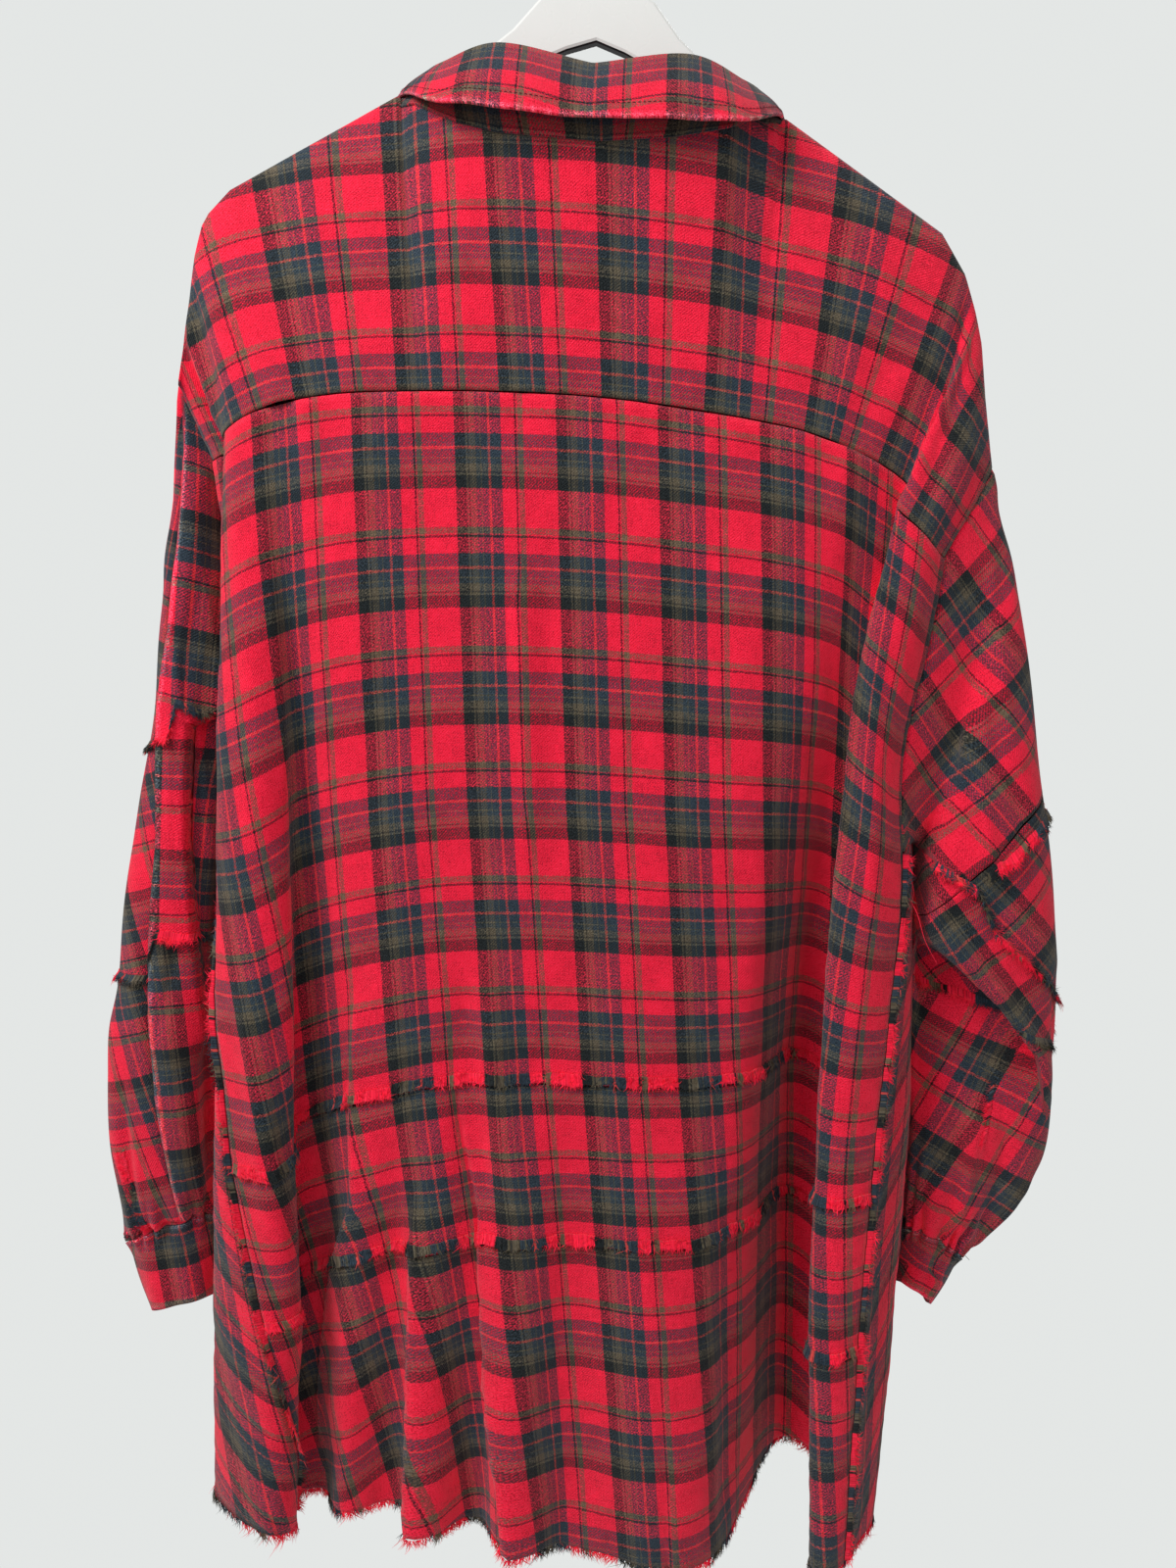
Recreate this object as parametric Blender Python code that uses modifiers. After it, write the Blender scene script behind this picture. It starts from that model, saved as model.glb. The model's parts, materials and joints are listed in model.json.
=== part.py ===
"""Oversized flannel tunic shirt, hung by its shoulders on a flat plastic hanger.

Metres, +Z up. The origin is where the hanger's hook bears on its rail. The back of the shirt faces -Y,
its front faces +Y, and the wearer's left sleeve is at -X. Every cloth piece is a wall of CLOTH thickness
made through sections: a plan curve of the body at four levels, a ridge over the shoulders, and rings
along each sleeve. Places on the cloth are named by s, metres round the body from the centre back
(left negative), and t, metres down the cloth from the back yoke seam.
"""
import math

import bmesh
import bpy
import numpy as np
from mathutils import Vector

# ---------------------------------------------------------------- driving dimensions
CLOTH = 0.0012            # thickness of the flannel
SEAM_GAP = 0.0018         # between the middles of two pieces that are sewn together
HALF_BACK = 0.29          # centre back to side seam, round the cloth
HALF_GIRTH = 0.58         # centre back to centre front
UNDERARM = 0.19           # depth of the armhole below the yoke seam
TIER_1 = 0.433            # the two raw-edged tier seams, down the cloth
TIER_2 = 0.541
FRONT_TOP = 0.05          # level at which the fronts leave the shoulder and follow the body curve
TILT = math.radians(3.3)  # the hanger hangs a little lower on its +X side

ARM_THICK = 0.009         # hanger
ARM_DEEP = 0.019
NECK_U = 0.12             # half width of the neck, where the ridge of the shoulders starts
NECK_W = -0.1263
TIP_U = 0.2227
TIP_W = -0.1876
COVER = CLOTH / 2 + 0.0016  # cloth middle above the hanger's arm
CROWN = 0.0062            # half width of the flat crown where the cloth rides over an arm

BUTTON_R = 0.0055
BUTTON_THICK = 0.0022

# ---------------------------------------------------------------- tables
# Plan of the body at four levels, metres down the cloth. Each row is a crest or a hollow of the folds,
# from the centre back round by -X: name, then (x, y) at each level.
LEVELS = (0.0, 0.15, 0.43, 0.76)
BODY = (
    ("centre back",      (0.000, -.037), (0.000, -.041), (0.000, -.042), (0.000, -.052)),
    ("left middle",      (-.060, -.037), (-.060, -.041), (-.060, -.041), (-.060, -.034)),
    ("left main",        (-.110, -.037), (-.110, -.041), (-.110, -.038), (-.110, -.026)),
    ("left lip",         (-.170, -.036), (-.165, -.039), (-.157, -.032), (-.168, -.020)),
    ("left floor",       (-.200, -.034), (-.192, -.032), (-.200, -.016), (-.204, -.002)),
    ("left tuck",        (-.212, -.033), (-.200, -.036), (-.211, -.027), (-.224, -.016)),
    ("left roll edge",   (-.220, -.032), (-.205, -.044), (-.201, -.046), (-.212, -.042)),
    ("left crown",       (-.228, -.026), (-.218, -.050), (-.217, -.058), (-.226, -.057)),
    ("left outline",     (-.232, -.015), (-.240, -.036), (-.253, -.040), (-.262, -.035)),
    ("left flank",       (-.233, -.002), (-.238, -.012), (-.250, -.010), (-.260, -.004)),
    ("left side",        (-.247, -.002), (-.234, 0.004), (-.242, 0.010), (-.250, 0.016)),
    ("left front fold",  (-.246, 0.018), (-.234, 0.024), (-.240, 0.034), (-.248, 0.042)),
    ("left front",       (-.150, 0.040), (-.150, 0.045), (-.150, 0.052), (-.160, 0.060)),
    ("centre front",     (-.008, 0.044), (-.008, 0.050), (-.008, 0.058), (-.010, 0.064)),
    ("right front",      (0.130, 0.040), (0.130, 0.045), (0.130, 0.052), (0.140, 0.060)),
    ("right front fold", (0.222, 0.016), (0.205, 0.024), (0.198, 0.034), (0.188, 0.042)),
    ("right flank",      (0.226, -.004), (0.209, 0.000), (0.206, 0.006), (0.195, 0.006)),
    ("right outline",    (0.222, -.018), (0.207, -.017), (0.208, -.020), (0.197, -.022)),
    ("right groove",     (0.218, -.028), (0.203, -.031), (0.189, -.035), (0.183, -.041)),
    ("right seam",       (0.211, -.037), (0.197, -.043), (0.177, -.055), (0.169, -.056)),
    ("right crown",      (0.195, -.050), (0.176, -.056), (0.153, -.063), (0.155, -.062)),
    ("right roll edge",  (0.179, -.046), (0.154, -.048), (0.138, -.050), (0.147, -.046)),
    ("right tuck",       (0.189, -.029), (0.172, -.026), (0.178, -.020), (0.166, 0.008)),
    ("right floor",      (0.176, -.031), (0.155, -.024), (0.135, -.010), (0.132, 0.026)),
    ("right lip",        (0.155, -.035), (0.125, -.036), (0.100, -.028), (0.098, -.010)),
    ("right main",       (0.110, -.037), (0.090, -.040), (0.070, -.040), (0.072, -.048)),
    ("right middle",     (0.050, -.037), (0.045, -.041), (0.035, -.042), (0.036, -.060)),
)
SEAM_ROW = 19             # the row of BODY where the right side seam lies
SLACK_FROM = 0.12         # right of this the cloth takes up the slack as far as the seam

# Flutes of the hem: name, x at the middle tier, x at the hem, half width, reach towards -Y, lean in x.
FLUTES = (
    ("flute a", -.158, -.176, 0.026, 0.020, -.007),
    ("flute b", -.110, -.118, 0.027, 0.023, -.008),
    ("flute c", -.050, -.056, 0.030, 0.022, -.009),
)
FLUTE_TOP = 0.42

# Heights along s: s, z of the yoke seam, of tier seam 1, of tier seam 2, of the hem.
HEIGHTS = (
    (-.58, -.300, -.733, -.841, -1.050),
    (-.36, -.318, -.770, -.876, -1.030),
    (-.29, -.335, -.795, -.900, -1.053),
    (-.25, -.326, -.793, -.897, -1.052),
    (-.21, -.309, -.775, -.880, -1.045),
    (-.17, -.3015, -.757, -.862, -1.048),
    (-.12, -.2995, -.742, -.852, -1.052),
    (-.06, -.300, -.737, -.846, -1.056),
    (0.00, -.3035, -.7385, -.848, -1.062),
    (0.06, -.3115, -.740, -.848, -1.068),
    (0.12, -.3225, -.739, -.845, -1.062),
    (0.16, -.333, -.743, -.848, -1.045),
    (0.21, -.352, -.790, -.895, -1.060),
    (0.25, -.378, -.810, -.915, -1.068),
    (0.29, -.400, -.812, -.917, -1.068),
    (0.36, -.360, -.790, -.890, -1.055),
    (0.58, -.300, -.733, -.841, -1.050),
)

# Top of the yoke, along s: s, x, y, z. Between a neck point and the tip of an arm it rides on the hanger;
# outside the tips it falls as the dropped shoulder, and between the neck points it is the neck seam.
YOKE_TOP_LEFT = (
    (-.29, -.2705, 0.000, -.2896),
    (-.26, -.2655, 0.000, -.2640),
    (-.24, -.2605, 0.000, -.2360),
    (-.22, -.2545, 0.000, -.2075),
)
YOKE_NECK = (
    (-.111, -.1235, -.0085, -.1236),
    (-.105, -.1141, -.020, -.1263),
    (-.083, -.0891, -.036, -.1427),
    (-.055, -.0647, -.040, -.1500),
    (0.000, -.0040, -.041, -.1553),
    (0.040, 0.0418, -.040, -.1526),
    (0.066, 0.0744, -.037, -.1465),
    (0.084, 0.0895, -.021, -.1358),
    (0.092, 0.1060, -.0085, -.1330),
)
YOKE_TOP_RIGHT = (
    (0.20, 0.2270, 0.000, -.2230),
    (0.22, 0.2340, 0.000, -.2440),
    (0.24, 0.2385, 0.000, -.2640),
    (0.262, 0.2420, 0.000, -.2980),
    (0.29, 0.2482, 0.000, -.3404),
)
NECK_S = (-.118, 0.098)   # s of the two neck points
TIP_S = (-.200, 0.175)    # s of the two arm tips
NECK_FRONT_Z = -.215      # the neck seam at the centre front
NECK_FRONT_Y = 0.050

# Sleeve rings: name, outer (x, z), inner (x, z), y of the middle, half depth.
SLEEVE_LEFT = (
    ("upper 1",  (-.291, -.375), (-.246, -.562), 0.020, 0.030),
    ("upper 2",  (-.298, -.430), (-.249, -.592), 0.022, 0.040),
    ("seam a",   (-.309, -.517), (-.253, -.617), 0.024, 0.044),
    ("middle",   (-.324, -.595), (-.258, -.662), 0.024, 0.044),
    ("seam b",   (-.337, -.677), (-.263, -.710), 0.024, 0.043),
    ("lower 1",  (-.346, -.728), (-.267, -.752), 0.024, 0.042),
    ("lower 2",  (-.348, -.804), (-.269, -.808), 0.024, 0.040),
    ("gather",   (-.340, -.868), (-.272, -.848), 0.024, 0.032),
    ("cuff",     (-.335, -.880), (-.274, -.858), 0.024, 0.026),
    ("cuff end", (-.322, -.930), (-.276, -.918), 0.024, 0.028),
)
SLEEVE_RIGHT = (
    ("upper 1",  (0.259, -.372), (0.222, -.585), -.004, 0.028),
    ("upper 2",  (0.273, -.430), (0.220, -.605), -.006, 0.036),
    ("seam a",   (0.293, -.546), (0.2135, -.630), -.006, 0.042),
    ("middle",   (0.307, -.640), (0.2110, -.650), -.002, 0.042),
    ("seam b",   (0.3150, -.7217), (0.2105, -.674), 0.006, 0.040),
    ("lower 1",  (0.307, -.797), (0.2105, -.714), 0.012, 0.036),
    ("lower 2",  (0.288, -.832), (0.2105, -.760), 0.015, 0.034),
    ("gather",   (0.262, -.862), (0.2115, -.832), 0.014, 0.026),
    ("cuff",     (0.2497, -.8746), (0.2145, -.855), 0.012, 0.020),
    ("cuff end", (0.2318, -.9112), (0.2090, -.8940), 0.012, 0.020),
)

# Collar, by the angle round the neck from the centre back: angle, then the middle of the stand's top
# (x, y, z) and of the fall's edge (x, y, z). Mirrored in x, then tilted with the hanger.
COLLAR = (
    (0,   (0.000, -.037, -.1120), (0.000, -.0560, -.1460)),
    (35,  (0.058, -.035, -.1035), (0.060, -.0560, -.1440)),
    (62,  (0.088, -.022, -.1110), (0.100, -.0430, -.1400)),
    (76,  (0.099, -.008, -.1105), (0.1190, -.0210, -.1285)),
    (90,  (0.104, 0.006, -.1090), (0.1290, 0.0060, -.1215)),
    (125, (0.078, 0.040, -.1350), (0.120, 0.0560, -.1750)),
    (172, (0.010, 0.052, -.1850), (0.055, 0.0760, -.2450)),
)

PALETTE = {
    "hanger": ((0.90, 0.90, 0.88), 0.35, 0.0),
    "hook": ((0.75, 0.75, 0.76), 0.25, 1.0),
    "body": ((0.42, 0.05, 0.07), 0.9, 0.0),
    "tier": ((0.30, 0.05, 0.07), 0.9, 0.0),
    "sleeve": ((0.36, 0.05, 0.07), 0.9, 0.0),
    "trim": ((0.22, 0.05, 0.06), 0.9, 0.0),
    "button": ((0.10, 0.02, 0.03), 0.4, 0.0),
}


# ---------------------------------------------------------------- curves through tables
def smooth(knots, values, where):
    """Cubic through rows of values at rising knots, with flat-free ends: the tables' interpolation."""
    knots = np.asarray(knots, float)
    values = np.asarray(values, float)
    where = np.clip(np.asarray(where, float), knots[0], knots[-1])
    cell = np.clip(np.searchsorted(knots, where, side="right") - 1, 0, len(knots) - 2)
    slopes = np.gradient(values, knots, axis=0)
    width = knots[cell + 1] - knots[cell]
    part = (where - knots[cell]) / width
    if values.ndim == 2:
        part = part[..., None]
        width = width[..., None]
    return ((1 + 2 * part) * (1 - part) ** 2 * values[cell] + part * (1 - part) ** 2 * width * slopes[cell]
            + part ** 2 * (3 - 2 * part) * values[cell + 1]
            + part ** 2 * (part - 1) * width * slopes[cell + 1])


def tilted(u, w):
    """A place on the hanger's own axes, turned by its tilt: returns x and z."""
    return u * math.cos(TILT) + w * math.sin(TILT), -u * math.sin(TILT) + w * math.cos(TILT)


def ridge(u):
    """Middle of the cloth where it rides over a hanger arm, at u along the hanger."""
    slope = (TIP_W - NECK_W) / (TIP_U - NECK_U)
    x, z = tilted(u, NECK_W + (abs(u) - NECK_U) * slope + COVER)
    return x, 0.0, z


BODY_CACHE = {}


def body_curve(t):
    """The body's plan at level t as a dense closed curve, with its length from the centre back."""
    key = round(t, 5)
    if key not in BODY_CACHE:
        rows = np.array([row[1:] for row in BODY])
        places = np.array([smooth(LEVELS, row, t) for row in rows])
        count = len(places)
        steps = np.arange(0, count, 0.05)
        first = np.floor(steps).astype(int)
        part = (steps - first)[:, None]
        p0, p1, p2, p3 = (places[(first + k) % count] for k in (-1, 0, 1, 2))
        line = 0.5 * (2 * p1 + (p2 - p0) * part + (2 * p0 - 5 * p1 + 4 * p2 - p3) * part ** 2
                      + (3 * p1 - p0 - 3 * p2 + p3) * part ** 3)
        grow = np.clip((t - FLUTE_TOP) / (LEVELS[-1] - FLUTE_TOP), 0, 1)
        behind = line[:, 1] < 0.0
        for _, x_top, x_hem, width, reach, lean in FLUTES:
            middle = x_top + (x_hem - x_top) * grow
            near = np.clip(np.abs(line[:, 0] - middle) / width, 0, 1)
            bump = (0.5 + 0.5 * np.cos(math.pi * near)) * grow ** 0.8 * behind
            line = line + np.stack([lean * bump, -reach * bump], axis=1)
        closed = np.vstack([line, line[:1]])
        length = np.concatenate([[0], np.cumsum(np.linalg.norm(np.diff(closed, axis=0), axis=1))])
        front = int(round(13 / 0.05))
        seam = int(round(SEAM_ROW / 0.05))
        BODY_CACHE[key] = (closed, length, length[front], length[-1] - length[seam])
    return BODY_CACHE[key]


def body_plan(s, t):
    """x and y of the cloth at s round the body and t down it."""
    closed, length, to_front, to_seam = body_curve(t)
    whole = length[-1]
    if s <= 0:
        run = -s
        at = run if run <= HALF_BACK else np.interp(run, (HALF_BACK, HALF_GIRTH), (HALF_BACK, to_front))
    else:
        round_right = np.interp(s, (0, SLACK_FROM, HALF_BACK, HALF_GIRTH),
                                (0, SLACK_FROM, to_seam, whole - to_front))
        at = (whole - round_right) % whole
    return np.interp(at, length, closed[:, 0]), np.interp(at, length, closed[:, 1])


HEIGHT_S = [row[0] for row in HEIGHTS]
HEIGHT_Z = np.array([row[1:] for row in HEIGHTS])


def heights(s):
    """z of the yoke seam, the tier seams and the hem at s."""
    return smooth(HEIGHT_S, HEIGHT_Z, s)


def hem_t(s):
    """t at which the cloth ends: the shirt-tail hem is cut shorter at the sides."""
    z = heights(s)
    return TIER_2 + z[2] - z[3]


def body_point(s, t):
    """The cloth of back and fronts at s and t, below the yoke seam."""
    x, y = body_plan(s, t)
    z = heights(s)
    drop = z[0] + (z[1] - z[0]) * t / TIER_1
    if t > TIER_1:
        drop = z[1] + (z[2] - z[1]) * (t - TIER_1) / (TIER_2 - TIER_1)
    if t > TIER_2:
        drop = z[2] - (t - TIER_2)
    return np.array([x, y, drop])


def top_rows():
    """Rows s, x, y, z of the yoke's top, from the left armhole to the right one."""
    rows = list(YOKE_TOP_LEFT)
    for part in np.linspace(1, 0, 4):
        s = NECK_S[0] + (TIP_S[0] - NECK_S[0]) * part
        rows.append((s, *ridge(-(NECK_U + (TIP_U - NECK_U) * part))))
    rows.extend(YOKE_NECK)
    for part in np.linspace(0, 1, 4):
        s = NECK_S[1] + (TIP_S[1] - NECK_S[1]) * part
        rows.append((s, *ridge(NECK_U + (TIP_U - NECK_U) * part)))
    rows.extend(YOKE_TOP_RIGHT)
    return np.array(rows)


TOP = top_rows()


def yoke_top(s):
    """The top line of the yoke at s."""
    return np.array([np.interp(s, TOP[:, 0], TOP[:, k]) for k in (1, 2, 3)])


def yoke_point(s, q):
    """The yoke at s: q 0 at the back seam, 1 on the top line, 2 at the front yoke seam."""
    top = yoke_top(s)
    inside = min(s - NECK_S[0], NECK_S[1] - s)
    crown = CROWN * float(np.clip(1 - inside / 0.006, 0, 1))
    if q <= 1:
        low = body_point(s, 0.0)
        away = 1 - q
        edge = min(top[1], -crown)
        y = top[1] + (edge - top[1]) * min(1.0, away / 0.01) + (low[1] - edge) * max(0.0, away - 0.01) ** 0.55
        return np.array([low[0] + (top[0] - low[0]) * q, y,
                         low[2] + (top[2] - low[2]) * min(1.0, q / 0.99)])
    low = front_seam(s)
    away = q - 1
    y = crown * min(1.0, away / 0.02) + (low[1] - crown) * max(0.0, away - 0.02) ** 0.55
    return np.array([top[0] + (low[0] - top[0]) * away, y, top[2] + (low[2] - top[2]) * max(0.0, away - 0.02)])


def front_seam(s):
    """The front yoke seam at s, outside the neck points."""
    x, _, z = yoke_top(s)
    past_tip = np.clip((abs(s) - 0.19) / 0.1, 0, 1)
    return np.array([x - math.copysign(0.010, s) * past_tip, 0.024 + 0.004 * past_tip, z - 0.045 + 0.018 * past_tip])


def front_top(side, f):
    """Top edge of a front: f 0 at the armhole, 0.55 at the neck point, 1 at the centre front."""
    neck_f = 0.55
    neck_s = NECK_S[0] if side < 0 else NECK_S[1]
    if f <= neck_f:
        return front_seam(side * HALF_BACK + (neck_s - side * HALF_BACK) * f / neck_f)
    start = front_seam(neck_s)
    x_end, z_end = tilted(side * 0.0006, NECK_FRONT_Z)
    turn = (f - neck_f) / (1 - neck_f) * math.pi / 2
    return np.array([x_end + (start[0] - x_end) * math.cos(turn) ** 0.8,
                     start[1] + (NECK_FRONT_Y - start[1]) * math.sin(turn),
                     start[2] + (z_end - start[2]) * math.sin(turn) ** 1.2])


def armhole_gap(side, t):
    """Cloth left open between back and front for the sleeve, in s."""
    widest = 0.022 if side < 0 else 0.05
    return widest * math.sqrt(max(0.0, 1 - (t / UNDERARM) ** 2)) + SEAM_GAP


def front_point(side, f, w):
    """A front: f 0 at armhole and side seam, 1 at the centre front; w 0 at the top, 1 at the hem."""
    first_s = HALF_BACK + armhole_gap(side, FRONT_TOP)
    split = 0.22
    if w <= split:
        top = front_top(side, f)
        s = side * (first_s + (HALF_GIRTH - 0.0006 - first_s) * f)
        low = body_point(s, FRONT_TOP)
        part = w / split
        point = top + (low - top) * part
        point[1] = top[1] + (low[1] - top[1]) * part ** 0.7
        return point
    part = (w - split) / (1 - split)
    end = hem_t(side * (HALF_BACK + (HALF_GIRTH - HALF_BACK) * f))
    t = FRONT_TOP + (end - FRONT_TOP) * part
    start_s = HALF_BACK + armhole_gap(side, t)
    return body_point(side * (start_s + (HALF_GIRTH - 0.0006 - start_s) * f), t)


# ---------------------------------------------------------------- Blender helpers
def clear_scene():
    for item in list(bpy.data.objects):
        bpy.data.objects.remove(item, do_unlink=True)


def collection(name):
    made = bpy.data.collections.new(name)
    bpy.context.scene.collection.children.link(made)
    return made


def material(name, finish):
    colour, rough, metal = PALETTE[finish]
    made = bpy.data.materials.new(name)
    made.use_nodes = True
    shader = made.node_tree.nodes["Principled BSDF"]
    shader.inputs["Base Color"].default_value = (*colour, 1.0)
    shader.inputs["Roughness"].default_value = rough
    shader.inputs["Metallic"].default_value = metal
    return made


def wall(name, grid, finish, closed=False, drop=None):
    """A cloth piece: a grid of middle points (rows, columns, 3) given its thickness by Solidify."""
    rows, columns = grid.shape[:2]
    mesh = bmesh.new()
    points = [[mesh.verts.new(grid[i, j]) for j in range(columns)] for i in range(rows)]
    across = columns if closed else columns - 1
    for i in range(rows - 1):
        for j in range(across):
            if drop is not None and drop(i, j):
                continue
            k = (j + 1) % columns
            mesh.faces.new((points[i][j], points[i + 1][j], points[i + 1][k], points[i][k]))
    loose = [v for v in mesh.verts if not v.link_faces]
    bmesh.ops.delete(mesh, geom=loose, context="VERTS")
    data = bpy.data.meshes.new(name)
    mesh.to_mesh(data)
    mesh.free()
    made = bpy.data.objects.new(name, data)
    tunic.objects.link(made)
    thick = made.modifiers.new("cloth", "SOLIDIFY")
    thick.thickness = CLOTH
    thick.offset = 0.0
    thick.use_even_offset = False
    data.materials.append(material(name, finish))
    data.shade_smooth()
    return made


def columns(*stretches):
    """Values along s or f in stretches (from, to, count), each end once."""
    values = []
    for start, end, count in stretches:
        values.extend(np.linspace(start, end, count, endpoint=False))
    values.append(stretches[-1][1])
    return np.array(values)


# ---------------------------------------------------------------- hanger
def solid_curve(name, data, finish, turn):
    """A filled or bevelled curve made into one closed mesh object."""
    shaped = bpy.data.objects.new(name + " curve", data)
    tunic.objects.link(shaped)
    bpy.context.view_layer.update()
    mesh = bpy.data.meshes.new_from_object(shaped.evaluated_get(bpy.context.evaluated_depsgraph_get()))
    bpy.data.objects.remove(shaped)
    shape = bmesh.new()
    shape.from_mesh(mesh)
    bmesh.ops.remove_doubles(shape, verts=shape.verts, dist=0.00005)
    bmesh.ops.recalc_face_normals(shape, faces=shape.faces)
    shape.to_mesh(mesh)
    shape.free()
    mesh.materials.clear()
    mesh.materials.append(material(name, finish))
    made = bpy.data.objects.new(name, mesh)
    made.rotation_euler = turn
    tunic.objects.link(made)
    return made


def make_hanger():
    """Flat plastic hanger: one outline of head and arms, as thick as ARM_THICK, with rounded edges."""
    half = [(0.011, -0.0372), (0.0135, -0.0440), (0.0230, -0.0530), (0.0350, -0.0600), (0.0520, -0.0800),
            (0.0700, -0.0950)]
    slope = (TIP_W - NECK_W) / (TIP_U - NECK_U)
    half += [(0.095, NECK_W - 0.025 * slope - 0.0026), (TIP_U - 0.004, TIP_W - 0.004 * slope)]
    tip = [(TIP_U - 0.0005, TIP_W - 0.004), (TIP_U, TIP_W - 0.009), (TIP_U - 0.0015, TIP_W - 0.014)]
    under = [(TIP_U - 0.006, TIP_W - ARM_DEEP + 0.003), (0.10, NECK_W - 0.020 * slope - ARM_DEEP - 0.003),
             (0.045, -0.1030), (0.018, -0.0905)]
    side = half + tip + under
    outline = side + [(0.0, -0.0845)] + [(-u, w) for u, w in reversed(side)]
    data = bpy.data.curves.new("hanger_body", "CURVE")
    data.dimensions = "2D"
    data.fill_mode = "BOTH"
    round_edge = 0.002
    data.extrude = ARM_THICK / 2 - round_edge
    data.bevel_depth = round_edge
    data.bevel_resolution = 1
    data.offset = -round_edge
    spline = data.splines.new("POLY")
    spline.points.add(len(outline) - 1)
    for point, (u, w) in zip(spline.points, outline):
        point.co = (u, w, 0, 1)
    spline.use_cyclic_u = True
    return solid_curve("hanger_body", data, "hanger", (math.radians(90), TILT, 0))


def make_hook():
    """The wire hook: its stem stands in the head and its bend bears on the rail at the origin."""
    wire = 0.0020
    bend = 0.0160 + wire
    centre_w = -0.0160
    path = [(0.0, -0.0369), (0.0, -0.0352)]
    for turn in np.linspace(-88, 205, 18):
        angle = math.radians(turn)
        path.append((bend * math.cos(angle), centre_w + bend * math.sin(angle)))
    data = bpy.data.curves.new("hanger_hook", "CURVE")
    data.dimensions = "3D"
    data.bevel_depth = wire
    data.bevel_resolution = 1
    data.use_fill_caps = True
    spline = data.splines.new("POLY")
    spline.points.add(len(path) - 1)
    for point, (u, w) in zip(spline.points, path):
        point.co = (u, 0, w, 1)
    return solid_curve("hanger_hook", data, "hook", (0, TILT, 0))


# ---------------------------------------------------------------- body pieces
BACK_S = columns((-HALF_BACK, TIP_S[0], 8), (TIP_S[0], NECK_S[0], 4), (NECK_S[0], NECK_S[0] + .007, 1),
                 (NECK_S[0] + .007, NECK_S[1] - .006, 6), (NECK_S[1] - .006, NECK_S[1], 1),
                 (NECK_S[1], TIP_S[1], 4), (TIP_S[1], HALF_BACK, 10))
UPPER_T = (0.0, .05, .10, .15, .19, .25, .34, TIER_1)


def make_yoke():
    """Back yoke, over the shoulders to the front yoke seams; open over the neck."""
    ups = [0.0, 0.30, 0.60, 0.82, 0.94, 0.99, 1.0, 1.02, 1.30, 1.985]
    grid = []
    for q in ups:
        row = []
        for s in BACK_S:
            height = np.linalg.norm(yoke_top(s) - body_point(s, 0.0))
            row.append(yoke_point(s, max(q, SEAM_GAP / 2 / height)))
        grid.append(row)
    grid = np.array(grid)

    def over_neck(i, j):
        middle = (BACK_S[j] + BACK_S[j + 1]) / 2
        return i >= 6 and NECK_S[0] < middle < NECK_S[1]

    wall("yoke", grid, "body", drop=over_neck)


def make_back():
    """Back panel in three tiers, sewn edge to edge at the raw tier seams."""
    tiers = (("back_upper", "body", 0.0, TIER_1, np.array(UPPER_T) / TIER_1),
             ("back_tier_middle", "tier", TIER_1, TIER_2, np.linspace(0, 1, 4)),
             ("back_tier_hem", "body", TIER_2, None, np.linspace(0, 1, 5)))
    for name, finish, start, end, parts in tiers:
        grid = []
        for part in parts:
            row = []
            for s in BACK_S:
                low = hem_t(s) if end is None else end - SEAM_GAP / 2
                row.append(body_point(s, start + SEAM_GAP / 2 + (low - start - SEAM_GAP / 2) * part))
            grid.append(row)
        wall(name, np.array(grid), finish)


def make_fronts():
    """The two fronts, from the front yoke seam and the neck to the hem."""
    for name, side in (("front_left", -1), ("front_right", 1)):
        across = columns((0.0, 0.30, 4), (0.30, 1.0, 5))
        downs = (.015, .09, .16, .22, .275, .33, .374, .44, .54, .64, .76, .88, 1.0)
        grid = np.array([[front_point(side, f, w) for f in across] for w in downs])
        if side > 0:
            grid = grid[:, ::-1]
        wall(name, grid, "body")


def make_placket():
    """The front band, laid over the edges of both fronts, and its buttons."""
    half_wide = 0.016
    lift = 0.0024
    strip = []
    for w in np.linspace(0.03, 0.995, 12):
        left = front_point(-1, 0.93, w)
        right = front_point(1, 0.93, w)
        middle = (front_point(-1, 1.0, w) + front_point(1, 1.0, w)) / 2
        row = []
        for part in (-1, -0.33, 0.33, 1):
            point = middle.copy()
            toward = left if part < 0 else right
            point += (toward - middle) * abs(part) * half_wide / np.linalg.norm(toward - middle)
            point[1] += lift
            row.append(point)
        strip.append(row)
    grid = np.array(strip)
    wall("placket", grid[:, ::-1], "trim")
    for number, w in enumerate(np.linspace(0.05, 0.80, 7), 1):
        at = (front_point(-1, 1.0, w) + front_point(1, 1.0, w)) / 2
        button(f"button_{number}", at + np.array([0, lift + CLOTH / 2 + 0.0006, 0]), (0, 1, 0))


def button(name, at, facing):
    """A flat round shirt button lying on the cloth at a place, facing outwards."""
    away = Vector(facing)
    bpy.ops.mesh.primitive_cylinder_add(vertices=12, radius=BUTTON_R, depth=BUTTON_THICK,
                                        location=Vector(at) + away * (BUTTON_THICK / 2),
                                        rotation=away.to_track_quat("Z", "Y").to_euler())
    made = bpy.context.active_object
    made.name = name
    for group in list(made.users_collection):
        group.objects.unlink(made)
    tunic.objects.link(made)
    edge = made.modifiers.new("edge", "BEVEL")
    edge.width = 0.0005
    edge.segments = 1
    made.data.materials.append(material(name, "button"))


# ---------------------------------------------------------------- collar
def collar_frame(angle):
    """Neck seam, stand top and fall edge at an angle round the neck, negative to the left."""
    side = -1 if angle < 0 else 1
    turns = [row[0] for row in COLLAR]
    top = smooth(turns, [row[1] for row in COLLAR], abs(angle))
    edge = smooth(turns, [row[2] for row in COLLAR], abs(angle))
    places = []
    for point in (top, edge):
        x, z = tilted(side * point[0], point[2])
        places.append(np.array([x, point[1], z]))
    return places


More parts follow.
